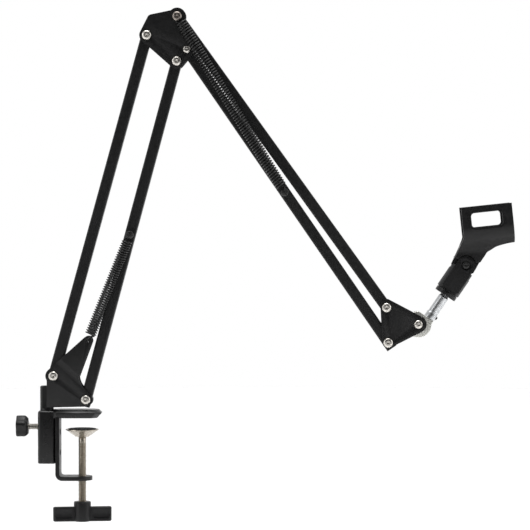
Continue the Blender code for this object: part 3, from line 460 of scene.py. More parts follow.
def curve_through(points, steps):
    """Points along a smooth curve through the given ones."""
    points = [Vector(p) for p in points]
    last = len(points) - 1
    made = []
    for i in range(last):
        a = points[max(i - 1, 0)]
        b, c = points[i], points[i + 1]
        d = points[min(i + 2, last)]
        for step in range(steps):
            t = step / steps
            made.append(0.5 * ((2 * b) + (c - a) * t + (2 * a - 5 * b + 4 * c - d) * t * t
                               + (3 * b - a - 3 * c + d) * t * t * t))
    return made + [points[-1]]


def new_object(name, bm, matrix=None):
    bmesh.ops.recalc_face_normals(bm, faces=bm.faces)
    mesh = bpy.data.meshes.new(name)
    bm.to_mesh(mesh)
    bm.free()
    obj = bpy.data.objects.new(name, mesh)
    bpy.context.collection.objects.link(obj)
    if matrix:
        obj.matrix_world = matrix
    return obj


def settle(obj):
    """Applies an object's modifiers to its mesh."""
    bpy.context.view_layer.update()
    graph = bpy.context.evaluated_depsgraph_get()
    obj.data = bpy.data.meshes.new_from_object(obj.evaluated_get(graph))
    obj.modifiers.clear()


def cut(obj, kind, bm):
    """An exact Boolean with a tool in the object's own frame, applied at once."""
    tool = new_object("tool", bm)
    tool.matrix_world = obj.matrix_world
    bpy.context.view_layer.update()
    modifier = obj.modifiers.new("cut", "BOOLEAN")
    modifier.operation = kind
    modifier.solver = "EXACT"
    modifier.object = tool
    settle(obj)
    bpy.data.objects.remove(tool)


def drill(obj, holes, axis="Y", reach=40 * MM):
    bm = bmesh.new()
    for x, y, z, radius in holes:
        turned(bm, [(radius, -reach), (radius, reach)], axis, (x, y, z), 48)
    cut(obj, "DIFFERENCE", bm)


def bore(obj, profile, axis="Y", centre=(0, 0, 0), segments=64, kind="DIFFERENCE"):
    """Cuts a turned shape out of an object, or joins it on."""
    bm = bmesh.new()
    turned(bm, profile, axis, centre, segments)
    cut(obj, kind, bm)


def carve(obj, outline, near, far, kind="DIFFERENCE"):
    """Cuts a prism out of an object, or joins it on."""
    bm = bmesh.new()
    prism(bm, outline, near, far)
    cut(obj, kind, bm)


def dress(obj, paint, body, nodes=(), bevel=0.0, segments=2, smooth=32.0):
    """Gives a piece its material, rounded edges and body, and hides what it stands for."""
    if bevel:
        modifier = obj.modifiers.new("bevel", "BEVEL")
        modifier.width = bevel
        modifier.segments = segments
        modifier.limit_method = "ANGLE"
        modifier.angle_limit = math.radians(smooth)
        modifier.use_clamp_overlap = True
        settle(obj)
    obj.data.transform(obj.matrix_world)
    obj.matrix_world = Matrix.Identity(4)
    obj.data.materials.clear()
    obj.data.materials.append(paint)
    obj.data.shade_smooth()
    obj.data.set_sharp_from_angle(angle=math.radians(SHARP_AFTER_BEVEL if bevel else smooth))
    if body:
        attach(obj, body)
    if nodes:
        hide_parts(*nodes)


# ---- arms

def tube(node, start, end, first_past, last_past, holes, body):
    """A square tube that runs past its two pivots, with soft outer rims."""
    length = (end - start).length
    rim = 0.25 * MM

    def square(inset):
        half = TUBE / 2 - inset
        return rounded_box((0, 0), (half, half), TUBE_CORNER - inset)

    bm = bmesh.new()
    outer, inner, lip = square(0), square(TUBE_WALL), square(rim)
    stations = [(outer, -first_past + rim), (outer, length + last_past - rim),
                (lip, length + last_past), (inner, length + last_past),
                (inner, -first_past), (lip, -first_past)]
    loft(bm, [[Vector((x, y, z)) for y, z in loop] for loop, x in stations], around=True)
    obj = new_object(node + "_detailed", bm, lean_frame(start, lean_of(start, end)))
    drill(obj, [(x, 0, 0, radius) for x, radius in holes])
    dress(obj, PAINT, body, [node])


def make_tubes():
    """The four arm tubes. A guide tube's hole is roomier at the pivot where the linkage is open."""
    fit = SHANK + GAP
    lower = (C - F).length
    tube("lower_main_tube", F, C, TUBE_PAST_PIVOT, TUBE_PAST_ELBOW,
         [(0, fit), (lower, fit), ((LOWER_PIN - F).length, PIN + GAP)], "lower_main")
    tube("lower_guide_tube", E, A, TUBE_PAST_PIVOT, TUBE_PAST_ELBOW,
         [(0, fit), ((A - E).length, LOWER_ROOM)], "lower_guide")
    upper = (H - D).length
    tube("upper_main_tube", D, H, TUBE_PAST_ELBOW, TUBE_PAST_PIVOT,
         [(0, fit), (upper, fit), ((UPPER_PIN - D).length, PIN + GAP)], "upper_main")
    tube("upper_guide_tube", B, G, TUBE_PAST_ELBOW, TUBE_PAST_PIVOT,
         [(0, fit), ((G - B).length, UPPER_ROOM)], "upper_guide")


def plate_pair(name, circles, holes, body, lobe=None):
    """Two plates whose outline lies round the given circles, with an optional lobe at a bolt."""
    for side, label in SIDES:
        bm = bmesh.new()
        prism(bm, hull(circles), side * PLATE_IN, side * PLATE_OUT)
        obj = new_object(name + "_" + label + "_detailed", bm)
        if lobe:
            carve(obj, arc((lobe.x, lobe.z), ELBOW_LOBE, 0, 360, 120)[:-1], side * PLATE_IN,
                  side * PLATE_OUT, "UNION")
        drill(obj, [(point.x, 0, point.z, SHANK + GAP) for point in holes])
        dress(obj, PAINT, body, [name + "_" + label], bevel=PLATE_EDGE, segments=3)


def base_outline():
    """Up the left side to bolt E, out along the finger to its tip, and down round bolt F."""
    left = SWIVEL.x + 0.2 * MM
    foot = F.z - 7.4 * MM
    tangent = lean_of(E, Q) + 90
    lobe_e, lobe_f, hollow = 7.6 * MM, 6.6 * MM, 17.6 * MM
    edge = [(left, foot)]
    edge += arc((E.x, E.z), lobe_e, 214, tangent, 24)
    edge += arc((Q.x, Q.z), FINGER_TIP, tangent, -24, 32)
    edge += arc((F.x + 10.9 * MM, F.z + 24.0 * MM), hollow, 188, 219, 12)
    edge += arc((F.x, F.z), lobe_f, 62, -80, 30)
    return edge


def make_plates():
    def around(point, radius):
        return (point.x, point.z, radius * MM)

    corner = C + ELBOW_CORNER
    plate_pair("elbow_plate", [around(A, 7.1), around(corner, 4.6), around(B, 7.0), around(D, 7.2),
                               around(C, 7.5)], (A, B, C, D), "elbow", B)
    plate_pair("head_plate", [around(G + Vector((0, 0, 2.4 * MM)), 5.7), around(H, 5.4),
                              around(I, 7.9)], (G, H, I), "head")
    for side, label in SIDES:
        bm = bmesh.new()
        prism(bm, base_outline(), side * PLATE_IN, side * PLATE_OUT)
        for step in range(7):
            reach = JOG_START + (JOG_END - JOG_START) * step / 6
            bmesh.ops.bisect_plane(bm, geom=bm.verts[:] + bm.edges[:] + bm.faces[:],
                                   plane_co=FINGER_AXIS * reach, plane_no=FINGER_AXIS)
        for vert in bm.verts:
            share = (vert.co.dot(FINGER_AXIS) - JOG_START) / (JOG_END - JOG_START)
            share = min(max(share, 0.0), 1.0)
            vert.co.y += side * FINGER_JOG * (0.5 * share + 0.5 * share * share * (3 - 2 * share))
        obj = new_object("base_plate_" + label + "_detailed", bm)
        drill(obj, [(E.x, 0, E.z, SHANK + GAP), (F.x, 0, F.z, SHANK + GAP), (Q.x, 0, Q.z, HOOK_HOLE)])
        dress(obj, PAINT, "base", ["base_plate_" + label], bevel=PLATE_EDGE, segments=3)


# ---- fasteners

def dome(head, seat, height):
    """The profile of a button head, from the middle of its flat top down to its seat."""
    steps = 12
    profile = [(POINT, seat - height)]
    for i in range(steps + 1):
        angle = math.radians(90 * i / steps)
        profile.append((head * (0.42 + 0.58 * math.sin(angle)),
                        seat - height * (0.26 + 0.74 * math.cos(angle))))
    return profile + [(head, seat - 0.1 * MM), (head - 0.15 * MM, seat)]


def bolt(letter, point, body, slotted=False, head=HEAD, spare=0.0, paint=None):
    """A button-head bolt, slotted or with a hexagon socket; spare is the room left for a hook."""
    seat = -(PLATE_OUT + GAP + spare)
    end = PLATE_OUT + GAP + spare + NUT_HEIGHT + 0.5 * MM
    root, pitch = SHANK - 0.3 * MM, 0.6 * MM
    bm = bmesh.new()
    profile = dome(head, seat, HEAD_HEIGHT)
    profile += [(SHANK + 0.15 * MM, seat), (SHANK, seat + 0.2 * MM), (SHANK, end - 2.0 * MM)]
    for turn in range(3):
        thread = end - 2.0 * MM + turn * pitch
        profile += [(root, thread + 0.35 * MM), (SHANK, thread + pitch)]
    turned(bm, profile + [(root, end)], "Y")
    obj = new_object("bolt_" + letter + "_detailed", bm, lean_frame(point))
    top = seat - HEAD_HEIGHT
    if slotted:
        carve(obj, box_points((-head * 1.2, -0.55 * MM), (head * 1.2, 0.55 * MM)), top - 1 * MM,
              top + 1.1 * MM)
    else:
        bore(obj, in_mm((1.45, -1), (1.45, 1.5), (0.05, 1.95)), "Y", (0, top, 0), 6)
    dress(obj, paint or NICKEL, body, ["bolt_" + letter], bevel=0.08 * MM)


def nut(node, point, body, seat, inner=SHANK, flats=NUT_FLATS, height=NUT_HEIGHT, paint=None):
    """A lock nut: a chamfered hexagon with the collar of its nylon ring on top."""
    corner = flats / math.sqrt(3)
    wide = corner + 0.2 * MM
    flat_top = height * 0.7
    bm = bmesh.new()
    turned(bm, [(corner, 0.0), (corner, flat_top)], "Y", (0, seat, 0), 6)
    obj = new_object(node + "_detailed", bm, lean_frame(point))
    bore(obj, [(flats * 0.47, -0.01 * MM), (wide, 0.55 * MM), (wide, flat_top - 0.55 * MM),
               (flats * 0.47, flat_top + 0.01 * MM)], "Y", (0, seat, 0), kind="INTERSECT")
    bore(obj, [(flats * 0.45, height * 0.5), (flats * 0.45, height * 0.88),
               (flats * 0.42, height * 0.97), (flats * 0.38, height), (flats * 0.2, height)],
         "Y", (0, seat, 0), kind="UNION")
    drill(obj, [(0, 0, 0, inner + 0.12 * MM)])
    dress(obj, paint or NICKEL, body, [node], bevel=SCREW_EDGE)


def make_fasteners():
    small = {"D": 3.65 * MM, "I": 4.2 * MM}
    sets = (("base", (("E", E), ("F", F))), ("elbow", (("A", A), ("B", B), ("C", C), ("D", D))),
            ("head", (("G", G), ("H", H), ("I", I))))
    for body, members in sets:
        for letter, point in members:
            spare = HOOK_SPACE if letter == "B" else 0.0
            bolt(letter, point, body, letter in small, small.get(letter, HEAD), spare,
                 BRONZED if letter == "B" else None)
            nut("nut_" + letter, point, body, PLATE_OUT + GAP + spare)


def spring_pin(node, point, coil_y, lean, body):
    """The slotted cross pin that holds both springs of an arm, and its nut."""
    seat = coil_y + 1.2 * MM
    bm = bmesh.new()
    turned(bm, [(POINT, -seat - 1.6 * MM), (2.2 * MM, -seat - 1.6 * MM),
                (3.3 * MM, -seat - 1.3 * MM), (3.75 * MM, -seat - 0.7 * MM), (3.8 * MM, -seat),
                (PIN, -seat), (PIN, seat + 2.6 * MM), (PIN - 0.3 * MM, seat + 2.9 * MM)], "Y")
    obj = new_object(node + "_detailed", bm, lean_frame(point, lean))
    carve(obj, box_points((-4 * MM, -0.4 * MM), (4 * MM, 0.4 * MM)), -seat - 3 * MM, -seat - 0.9 * MM)
    dress(obj, BLACK_STEEL, body, [node], bevel=SCREW_EDGE)
    nut(node + "_nut", point, body, seat + GAP, PIN, SMALL_FLATS, 2.4 * MM, BLACK_STEEL)


# ---- springs

def wire(bm, path, radius):
    """A round wire along a path, with narrowed ends."""
    sides = 10
    count = len(path)
    tangents = [(path[min(i + 1, count - 1)] - path[max(i - 1, 0)]).normalized()
                for i in range(count)]
    side = tangents[0].orthogonal().normalized()
    rings = []
    for i, point in enumerate(path):
        side = (side - tangents[i] * side.dot(tangents[i])).normalized()
        up = tangents[i].cross(side)
        scale = 0.6 if i in (0, count - 1) else 1.0
        rings.append([point + (side * math.cos(2 * math.pi * j / sides)
                               + up * math.sin(2 * math.pi * j / sides)) * radius * scale
                      for j in range(sides)])
    loft(bm, rings)


def coil_path(start, end, coil, centre_y, first_angle, turns):
    """The turns of a coil along X; angle 0 is towards the middle plane."""
    radius = coil - WIRE
    steps_per_turn = 18
    steps = int(turns * steps_per_turn)
    path = []
    for i in range(steps + 1):
        share = i / steps
        angle = first_angle + 2 * math.pi * turns * share
        path.append(Vector((start + (end - start) * share, centre_y - radius * math.cos(angle),
                            radius * math.sin(angle))))
    return path


def far_loop(length, centre_y):
    """The hook at the far end: in from the last turn, then round the cross pin."""
    points = [Vector((length - 4.6 * MM, centre_y - 2.0 * MM, 2.6 * MM)),
              Vector((length - 3.4 * MM, centre_y - 0.4 * MM, 1.9 * MM))]
    for step in range(11):
        angle = math.radians(140 - 31 * step)
        points.append(Vector((length + LOOP * math.cos(angle), centre_y, LOOP * math.sin(angle))))
    return points


def finger_hook(centre_y):
    """The hook at the near end that passes through a base plate's finger."""
    plate = PLATE_IN + FINGER_JOG + 0.75 * MM
    reach = 1.5 * MM
    points = [Vector((4.9 * MM, plate - reach, 0.2 * MM)), Vector((2.6 * MM, plate - reach, 0))]
    for step in range(7):
        angle = math.radians(180 + 30 * step)
        points.append(Vector((0.6 * MM + reach * math.sin(angle), plate + reach * math.cos(angle), 0)))
    points += [Vector((2.8 * MM, plate + reach, 0)),
               Vector((4.6 * MM, plate + reach + 0.5 * MM, -1.0 * MM)),
               Vector((5.7 * MM, centre_y + 1.2 * MM, -3.0 * MM))]
    return points


def bolt_hook():
    """The loop at the near end that lies round bolt B, under its head or nut."""
    level = PLATE_OUT + 0.95 * MM
    points = []
    for step in range(11):
        angle = math.radians(-30 + 29 * step)
        points.append(Vector((LOOP * math.cos(angle), level, LOOP * math.sin(angle))))
    points += [Vector((2.6 * MM, level, -3.0 * MM)), Vector((5.0 * MM, level, -2.9 * MM)),
               Vector((6.2 * MM, level + 0.2 * MM, -1.6 * MM))]
    return points


def spring(arm, end, side, near, far, coil, coil_y, pitch):
    """A whole extension spring in its own frame: X runs from the near hook to the far pin."""
    name = arm + "_spring_" + end
    length = (far - near).length
    start, stop = NEAR_HOOK, length - FAR_HOOK
    on_finger = arm == "lower"
    hook = finger_hook(coil_y) if on_finger else bolt_hook()
    first = math.radians(230 if on_finger else 0)
    last = math.radians(60)
    turns = math.floor((stop - start) / pitch) + (last - first) / (2 * math.pi)
    wound = coil_path(start, stop, coil, coil_y, first, turns)
    steps = 5
    lead = curve_through(hook + wound[:2], steps)[:-steps]
    tail = curve_through(wound[-2:] + far_loop(length, coil_y), steps)[steps:]
    bm = bmesh.new()
    wire(bm, [Vector((p.x, side * p.y, p.z)) for p in lead + wound[:-1] + tail], WIRE)
    obj = new_object(name + "_detailed", bm, lean_frame(near, lean_of(near, far)))
    dress(obj, SPRING, None, smooth=60.0)
    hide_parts(name, arm + "_spring_eye_" + end)
    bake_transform(obj)


def make_springs():
    for side, end in SIDES:
        spring("lower", end, side, Q, LOWER_PIN, LOWER_COIL, LOWER_SPRING_Y, LOWER_PITCH)
        spring("upper", end, side, B, UPPER_PIN, UPPER_COIL, UPPER_SPRING_Y, UPPER_PITCH)
    spring_pin("lower_spring_pin", LOWER_PIN, LOWER_SPRING_Y, lean_of(F, C), "lower_main")
    spring_pin("upper_spring_pin", UPPER_PIN, UPPER_SPRING_Y, lean_of(D, H), "upper_main")


# ---- clamp

def make_clamp_head():
    """The socket block with rounded upright edges, and the upper jaw with clipped corners."""
    low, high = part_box("clamp_head")
    right = BLOCK_RIGHT
    block_half = 10.3 * MM
    block_corner = 3.2 * MM
    chamfer = 5.8 * MM
    bevel = 2.8 * MM
    tip = 4.0 * MM
    levels = [(low.z, 0.8), (low.z + 0.25 * MM, 0.35), (low.z + 0.8 * MM, 0),
              (BLOCK_TOP - 2.2 * MM, 0), (BLOCK_TOP - 1.6 * MM, 0.12), (BLOCK_TOP - 0.7 * MM, 0.75),
              (BLOCK_TOP - 0.15 * MM, 1.6), (BLOCK_TOP, 2.2)]
    rings = []
    for z, inset in levels:
        inset *= MM
        half = ((right - low.x) / 2 - inset, block_half - inset)
        outline = rounded_box(((right + low.x) / 2, 0), half, block_corner - inset)
        rings.append([Vector((x, y, z)) for x, y in outline])
    bm = bmesh.new()
    loft(bm, rings)
    obj = new_object("clamp_head_detailed", bm)
    half = high.y
    hidden = 5 * MM
    plan = [(right - hidden, -block_half + 4 * MM), (right + 1 * MM, -half), (high.x - chamfer, -half),
            (high.x, -half + chamfer), (high.x, half - chamfer), (high.x - chamfer, half),
            (right + 1 * MM, half), (right - hidden, block_half - 4 * MM)]
    slab = bmesh.new()
    centre_x = (right + high.x) / 2
    rings = []
    for z, inset, back in ((0, 0, tip), (tip, 0, 0), (high.z - bevel, 0, 0), (high.z, bevel, 0)):
        rings.append([Vector((x - math.copysign(inset, x - centre_x) - (back if x > centre_x else 0),
                              y - math.copysign(inset, y), z)) for x, y in plan])
    loft(slab, rings)
    cut(obj, "UNION", slab)
    leg_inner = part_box("clamp_bracket")[0].x + BAR
    carve(obj, box_points((right, -GAP), (leg_inner + GAP, LEG_REBATE)), -2 * half, 2 * half)
    post_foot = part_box("swivel_post")[0].z
    bore(obj, [(POST + GAP, post_foot), (POST + GAP, BLOCK_TOP + 5 * MM)], "Z", (SWIVEL.x, 0, 0), 48)
    bore(obj, [(THUMB_SCREW + GAP, low.x - 5 * MM), (THUMB_SCREW + GAP, SWIVEL.x)], "X",
         (0, 0, pivot("thumb_turn").z), 48)
    dress(obj, CASTING, "clamp", ["clamp_head"], bevel=0.55 * MM, segments=3)


def make_bracket():
    """The flat bar bent into the leg and the lower jaw, and the two rivets through the leg."""
    low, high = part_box("clamp_bracket")
    bend = 6.5 * MM
    half = high.y
    foot, throat = low.z, low.z + BAR
    tip = high.x - half
    corner = (low.x + bend, foot + bend)
    outline = [(low.x, high.z)] + arc(corner, bend, 180, 270, 24) + [(tip, foot), (tip, throat)]
    outline += arc(corner, bend - BAR, 270, 180, 24) + [(low.x + BAR, high.z)]
    bm = bmesh.new()
    prism(bm, outline, -half, half)
    obj = new_object("clamp_bracket_detailed", bm)
    bore(obj, [(half, foot), (half, throat)], "Z", (tip, 0, 0), 96, "UNION")
    drill(obj, [(0, 0, foot, SCREW + GAP)], "Z", 10 * MM)
    dress(obj, PAINT, "clamp", ["clamp_bracket"], bevel=0.5 * MM, segments=3)
    seat = low.x + BAR + GAP
    shank, head, height = 2.0 * MM, 3.0 * MM, 0.5 * MM
    for number in (1, 2):
        node = "clamp_rivet_%d" % number
        rivet = bmesh.new()
        profile = [(shank, seat - shank), (shank, seat)]
        for i in range(10):
            angle = math.radians(9 * i)
            profile.append((head * math.cos(angle), seat + height * math.sin(angle)))
        turned(rivet, profile + [(POINT, seat + height)], "X", (0, 0, middle(node).z))
        dress(new_object(node + "_detailed", rivet), PAINT, "clamp", [node])


def thread_rows(root, crest, top, bottom, segments, per_pitch):
    """Rings whose radius follows a rounded helical thread between two heights."""
    rows = int(abs(top - bottom) / THREAD_PITCH * per_pitch)
    rings = []
    for row in range(rows + 1):
        height = top + (bottom - top) * row / rows
        fade = min(1.0, 4.0 * min(row, rows - row) / per_pitch)
        ring = []
        for i in range(segments):
            share = (height / THREAD_PITCH - i / segments) % 1.0
            wave = 0.5 - 0.5 * math.cos(2 * math.pi * share)
            radius = root + (crest - root) * wave * fade
            angle = 2 * math.pi * i / segments
            ring.append(Vector((radius * math.cos(angle), radius * math.sin(angle), height)))
        rings.append(ring)
    return rings


def make_clamp_screw():
    """The screw with its swivel head, the dished disc on it and the ribbed pad in the disc."""
    segments = 48
    low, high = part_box("clamp_screw")
    disc_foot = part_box("clamp_disc")[0].z
    neck, neck_top, neck_end = 3.6 * MM, disc_foot - GAP, -24.8 * MM
    profile = [(POINT, high.z)]
    profile += [(r, high.z + z) for r, z in in_mm((2.6, 0.0), (3.4, -0.15), (3.9, -0.7), (3.9, -1.1),
                                                  (2.0, -1.1))]
    profile += [(2.0 * MM, neck_top), (neck - 0.4 * MM, neck_top), (neck, neck_top - 0.4 * MM),
                (neck, neck_end)]

    def ring_at(radius, height):
        return [Vector((x, y, height)) for x, y in arc((0, 0), radius, 0, 360, segments)[:-1]]

    threaded = thread_rows(3.3 * MM, SCREW, neck_end - 0.2 * MM, low.z + 1.0 * MM, segments, 8)
    bm = bmesh.new()
    loft(bm, [ring_at(r, z) for r, z in profile] + threaded + [ring_at(3.0 * MM, low.z)])
    dress(new_object("clamp_screw_detailed", bm), SCREW_METAL, "clamp_screw_set",
          ["clamp_screw"], smooth=50.0)

    under = in_mm((6.2, 0.0), (6.6, 0.15), (15.2, 6.3), (15.8, 6.5), (16.0, 6.8), (16.0, 7.15),
                  (15.9, 7.35), (15.4, 7.4))
    inside = in_mm((14.6, 7.25), (13.2, 6.3), (11.6, 4.9), (9.8, 3.6), (8.0, 2.3), (6.4, 1.6),
                   (5.0, 1.4), (2.3, 1.4))
    ring = in_mm((2.3, 0.0)) + under + inside
    bm = bmesh.new()
    turned(bm, [(r, disc_foot + z) for r, z in ring], "Z", segments=96, around=True)
    dress(new_object("clamp_disc_detailed", bm), SCREW_METAL, "clamp_disc_set",
          ["clamp_disc"])

    pad_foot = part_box("disc_pad")[0].z
    edge = in_mm((4.6, 0.0), (8.4, 0.1), (10.0, 1.0), (11.6, 2.4), (13.4, 3.9), (13.7, 4.2),
                 (13.6, 4.5), (13.2, 4.68), (12.9, 4.7))
    face, groove = 4.7 * MM, 0.35 * MM
    profile = [(POINT, 0)] + edge
    for ridge in range(4):
        radius = (11.6 - 2.6 * ridge) * MM
        profile += [(radius, face), (radius - 0.25 * MM, face - groove),
                    (radius - 0.75 * MM, face - groove), (radius - 1.0 * MM, face)]
    bm = bmesh.new()
    turned(bm, [(r, pad_foot + z) for r, z in profile + [(POINT, face)]], "Z", segments=96)
    dress(new_object("disc_pad_detailed", bm), RUBBER, "clamp_disc_set", ["disc_pad"])


def make_handle():
    """A round hub with a flat wing through it; each wing face has a long shallow pocket."""
    low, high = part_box("clamp_handle")
    hub, hub_edge = 8.3 * MM, 0.7 * MM
    half, thick = 28.4 * MM, 3.5 * MM
    pocket, pocket_height, web = 3.9 * MM, low.z + 7.1 * MM, 0.8 * MM
    bm = bmesh.new()
    turned(bm, [(POINT, low.z), (hub - hub_edge, low.z), (hub, low.z + hub_edge),
                (hub, high.z - hub_edge), (hub - hub_edge, high.z), (POINT, high.z)], "Z", segments=72)
    obj = new_object("clamp_handle_detailed", bm)
    wing = bmesh.new()
    rings = []
    for height, inset in ((0.0, 1.0), (0.3, 0.45), (1.0, 0), (13.2, 0), (13.9, 0.45), (14.2, 1.0)):
        radius = thick - inset * MM
        edge = arc((half - thick, 0), radius, -90, 90, 16)
        edge += arc((thick - half, 0), radius, 90, 270, 16)
        rings.append([Vector((x, y, low.z + height * MM)) for x, y in edge])
    loft(wing, rings)
    yaw = Matrix.Rotation(math.radians(HANDLE_YAW), 3, "Z")
    bmesh.ops.rotate(wing, verts=wing.verts, matrix=yaw)
    cut(obj, "UNION", wing)
    for end in (-1, 1):
        pockets = bmesh.new()
        outline = hull([(end * reach * MM, pocket_height, pocket) for reach in (14.0, 23.0)])
        for side in (-1, 1):
            prism(pockets, outline, side * (thick - web), side * (thick + 3 * MM))
        bmesh.ops.rotate(pockets, verts=pockets.verts, matrix=yaw)
        cut(obj, "DIFFERENCE", pockets)
    bore(obj, [(SCREW + GAP, high.z + 5 * MM), (SCREW + GAP, HANDLE_SOCKET)], "Z")
    dress(obj, PLASTIC, "clamp_screw_set", ["clamp_handle"], bevel=0.5 * MM,
          segments=3)


def make_thumb_screw():
    height = pivot("thumb_turn").z
    low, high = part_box("thumb_screw")
    segments = 40

    def ring_at(radius, x):
        return [Vector((x, y, height + z)) for y, z in arc((0, 0), radius, 0, 360, segments)[:-1]]

    threaded = []
    for ring in thread_rows(THUMB_ROOT, THUMB_SCREW, high.x - 0.6 * MM, low.x, segments, 6):
        threaded.append([Vector((p.z, p.x, p.y + height)) for p in ring])
    bm = bmesh.new()
    loft(bm, [ring_at(2.1 * MM, high.x), ring_at(THUMB_ROOT, high.x - 0.3 * MM)] + threaded)
    dress(new_object("thumb_screw_detailed", bm), NICKEL, "thumb_set",
          ["thumb_screw"], smooth=50.0)

    def lobes(angle):
        return 1.0 - 0.075 * (1 - math.sin(5 * angle))

    inner_face, dished_face = -52.2 * MM, -63.0 * MM
    profile = in_mm((7.4, -52.2), (8.1, -52.4), (9.5, -53.6), (10.4, -54.8), (10.7, -55.6),
                    (10.7, -62.7), (10.5, -63.3), (10.0, -63.7), (9.2, -63.8), (8.4, -63.6),
                    (7.6, -63.1))
    bm = bmesh.new()
    turned(bm, [(POINT, inner_face)] + profile + [(POINT, dished_face)], "X", (0, 0, height), 120, lobes)
    obj = new_object("thumb_knob_detailed", bm)
    bore(obj, [(THUMB_SCREW + GAP, -58.4 * MM), (THUMB_SCREW + GAP, -45.0 * MM)], "X", (0, 0, height))
    dress(obj, PLASTIC, "thumb_set", ["thumb_knob"])


def make_post():
    """The post, with its top edge rounded and two flats for the base plates."""
    low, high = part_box("swivel_post")
    chamfer, round_top = 0.7 * MM, 1.6 * MM
    bm = bmesh.new()
    profile = [(POINT, low.z), (POST - chamfer, low.z), (POST, low.z + chamfer)]
    profile += arc((POST - round_top, high.z - round_top), round_top, 0, 90, 8)
    turned(bm, profile + [(POINT, high.z)], "Z", (SWIVEL.x, 0, 0), 72)
    obj = new_object("swivel_post_detailed", bm)
    flats = bmesh.new()
    for side in (-1, 1):
        ring = box_points((SWIVEL.x - 9 * MM, 9 * MM), (SWIVEL.x + 9 * MM, 40 * MM))
        prism(flats, ring, side * (PLATE_IN - GAP), side * 12 * MM)
    cut(obj, "DIFFERENCE", flats)
    dress(obj, PAINT, "base", ["swivel_post"], bevel=0.25 * MM)


# ---- head fitting and clip

def make_knuckle():
    """The cast knuckle: round about bolt I, with a flat side and a flat top that carries the rod."""
    flat_side = 10.6 * MM
    half = 5.2 * MM
    top = ROD_START - 1.4 * MM
    top_angle = math.degrees(math.acos(top / KNUCKLE))
    side_angle = math.degrees(math.asin(flat_side / KNUCKLE))
    outline = arc((0, 0), KNUCKLE, top_angle, 360 - side_angle, 72) + [(top, -flat_side)]
    bm = bmesh.new()
    prism(bm, outline, -half, half)
    obj = new_object("tilt_knuckle_detailed", bm, lean_frame(I, ROD_LEAN))
    drill(obj, [(0, 0, 0, SHANK + GAP)])
    fit = SPIGOT + GAP
    bore(obj, [(fit, ROD_START - 8 * MM), (fit, ROD_START + 5 * MM)], "X", (0, 0, -SPIGOT_OFFSET), 48)
    dress(obj, ZINC, "tilt_fitting", ["tilt_knuckle"], bevel=0.7 * MM, segments=4)


def make_rod():
    """The rod: a spigot in the knuckle, a collar, the plain rod and the thread for the clip."""
    foot = ROD_START - 1.1 * MM
    top = ROD_START + 4.9 * MM
    root, crest, pitch = 3.9 * MM, 4.4 * MM, 0.9 * MM
    profile = [(POINT, foot), (ROD_COLLAR - 0.3 * MM, foot), (ROD_COLLAR, foot + 0.3 * MM),
               (ROD_COLLAR, top - 0.5 * MM), (ROD_COLLAR - 0.15 * MM, top - 0.2 * MM), (ROD, top),
               (ROD, RIM_AT - 2.3 * MM), (ROD - 0.3 * MM, RIM_AT - 2.0 * MM),
               (crest, RIM_AT - 1.4 * MM)]
    at = RIM_AT - 0.6 * MM
    while at < RIM_AT + 13.5 * MM:
        profile += [(root, at + pitch / 2), (crest, at + pitch)]
        at += pitch
    stud_end = RIM_AT + 15.0 * MM
    bm = bmesh.new()
    turned(bm, profile + [(3.6 * MM, stud_end), (POINT, stud_end)], "X", (0, 0, -ROD_OFFSET), 72)
    obj = new_object("adapter_rod_detailed", bm, lean_frame(I, ROD_LEAN))
    bore(obj, [(SPIGOT, ROD_START - 7.6 * MM), (SPIGOT, ROD_START + 3.0 * MM)], "X",
         (0, 0, -SPIGOT_OFFSET), 48, "UNION")
    bore(obj, [(1.8 * MM, -ROD_OFFSET - 9 * MM), (1.8 * MM, -ROD_OFFSET - 2 * MM)], "Z",
         (LOCK_SCREW_AT, 0, 0), 48)
    dress(obj, CHROME, "tilt_fitting", ["adapter_rod"])

    socket = in_mm((0.75, -5.8), (0.8, -6.6))
    outside = in_mm((1.25, -6.6), (1.5, -6.35), (1.5, -2.6), (1.3, -2.4))
    profile = [(POINT, -5.6 * MM)] + socket + outside + [(POINT, -2.4 * MM)]
    screw = bmesh.new()
    turned(screw, [(r, z - ROD_OFFSET) for r, z in profile], "Z", (LOCK_SCREW_AT, 0, 0), 48)
    obj = new_object("rod_lock_screw_detailed", screw, lean_frame(I, ROD_LEAN))
    dress(obj, BLACK_STEEL, "tilt_fitting", ["rod_lock_screw"])


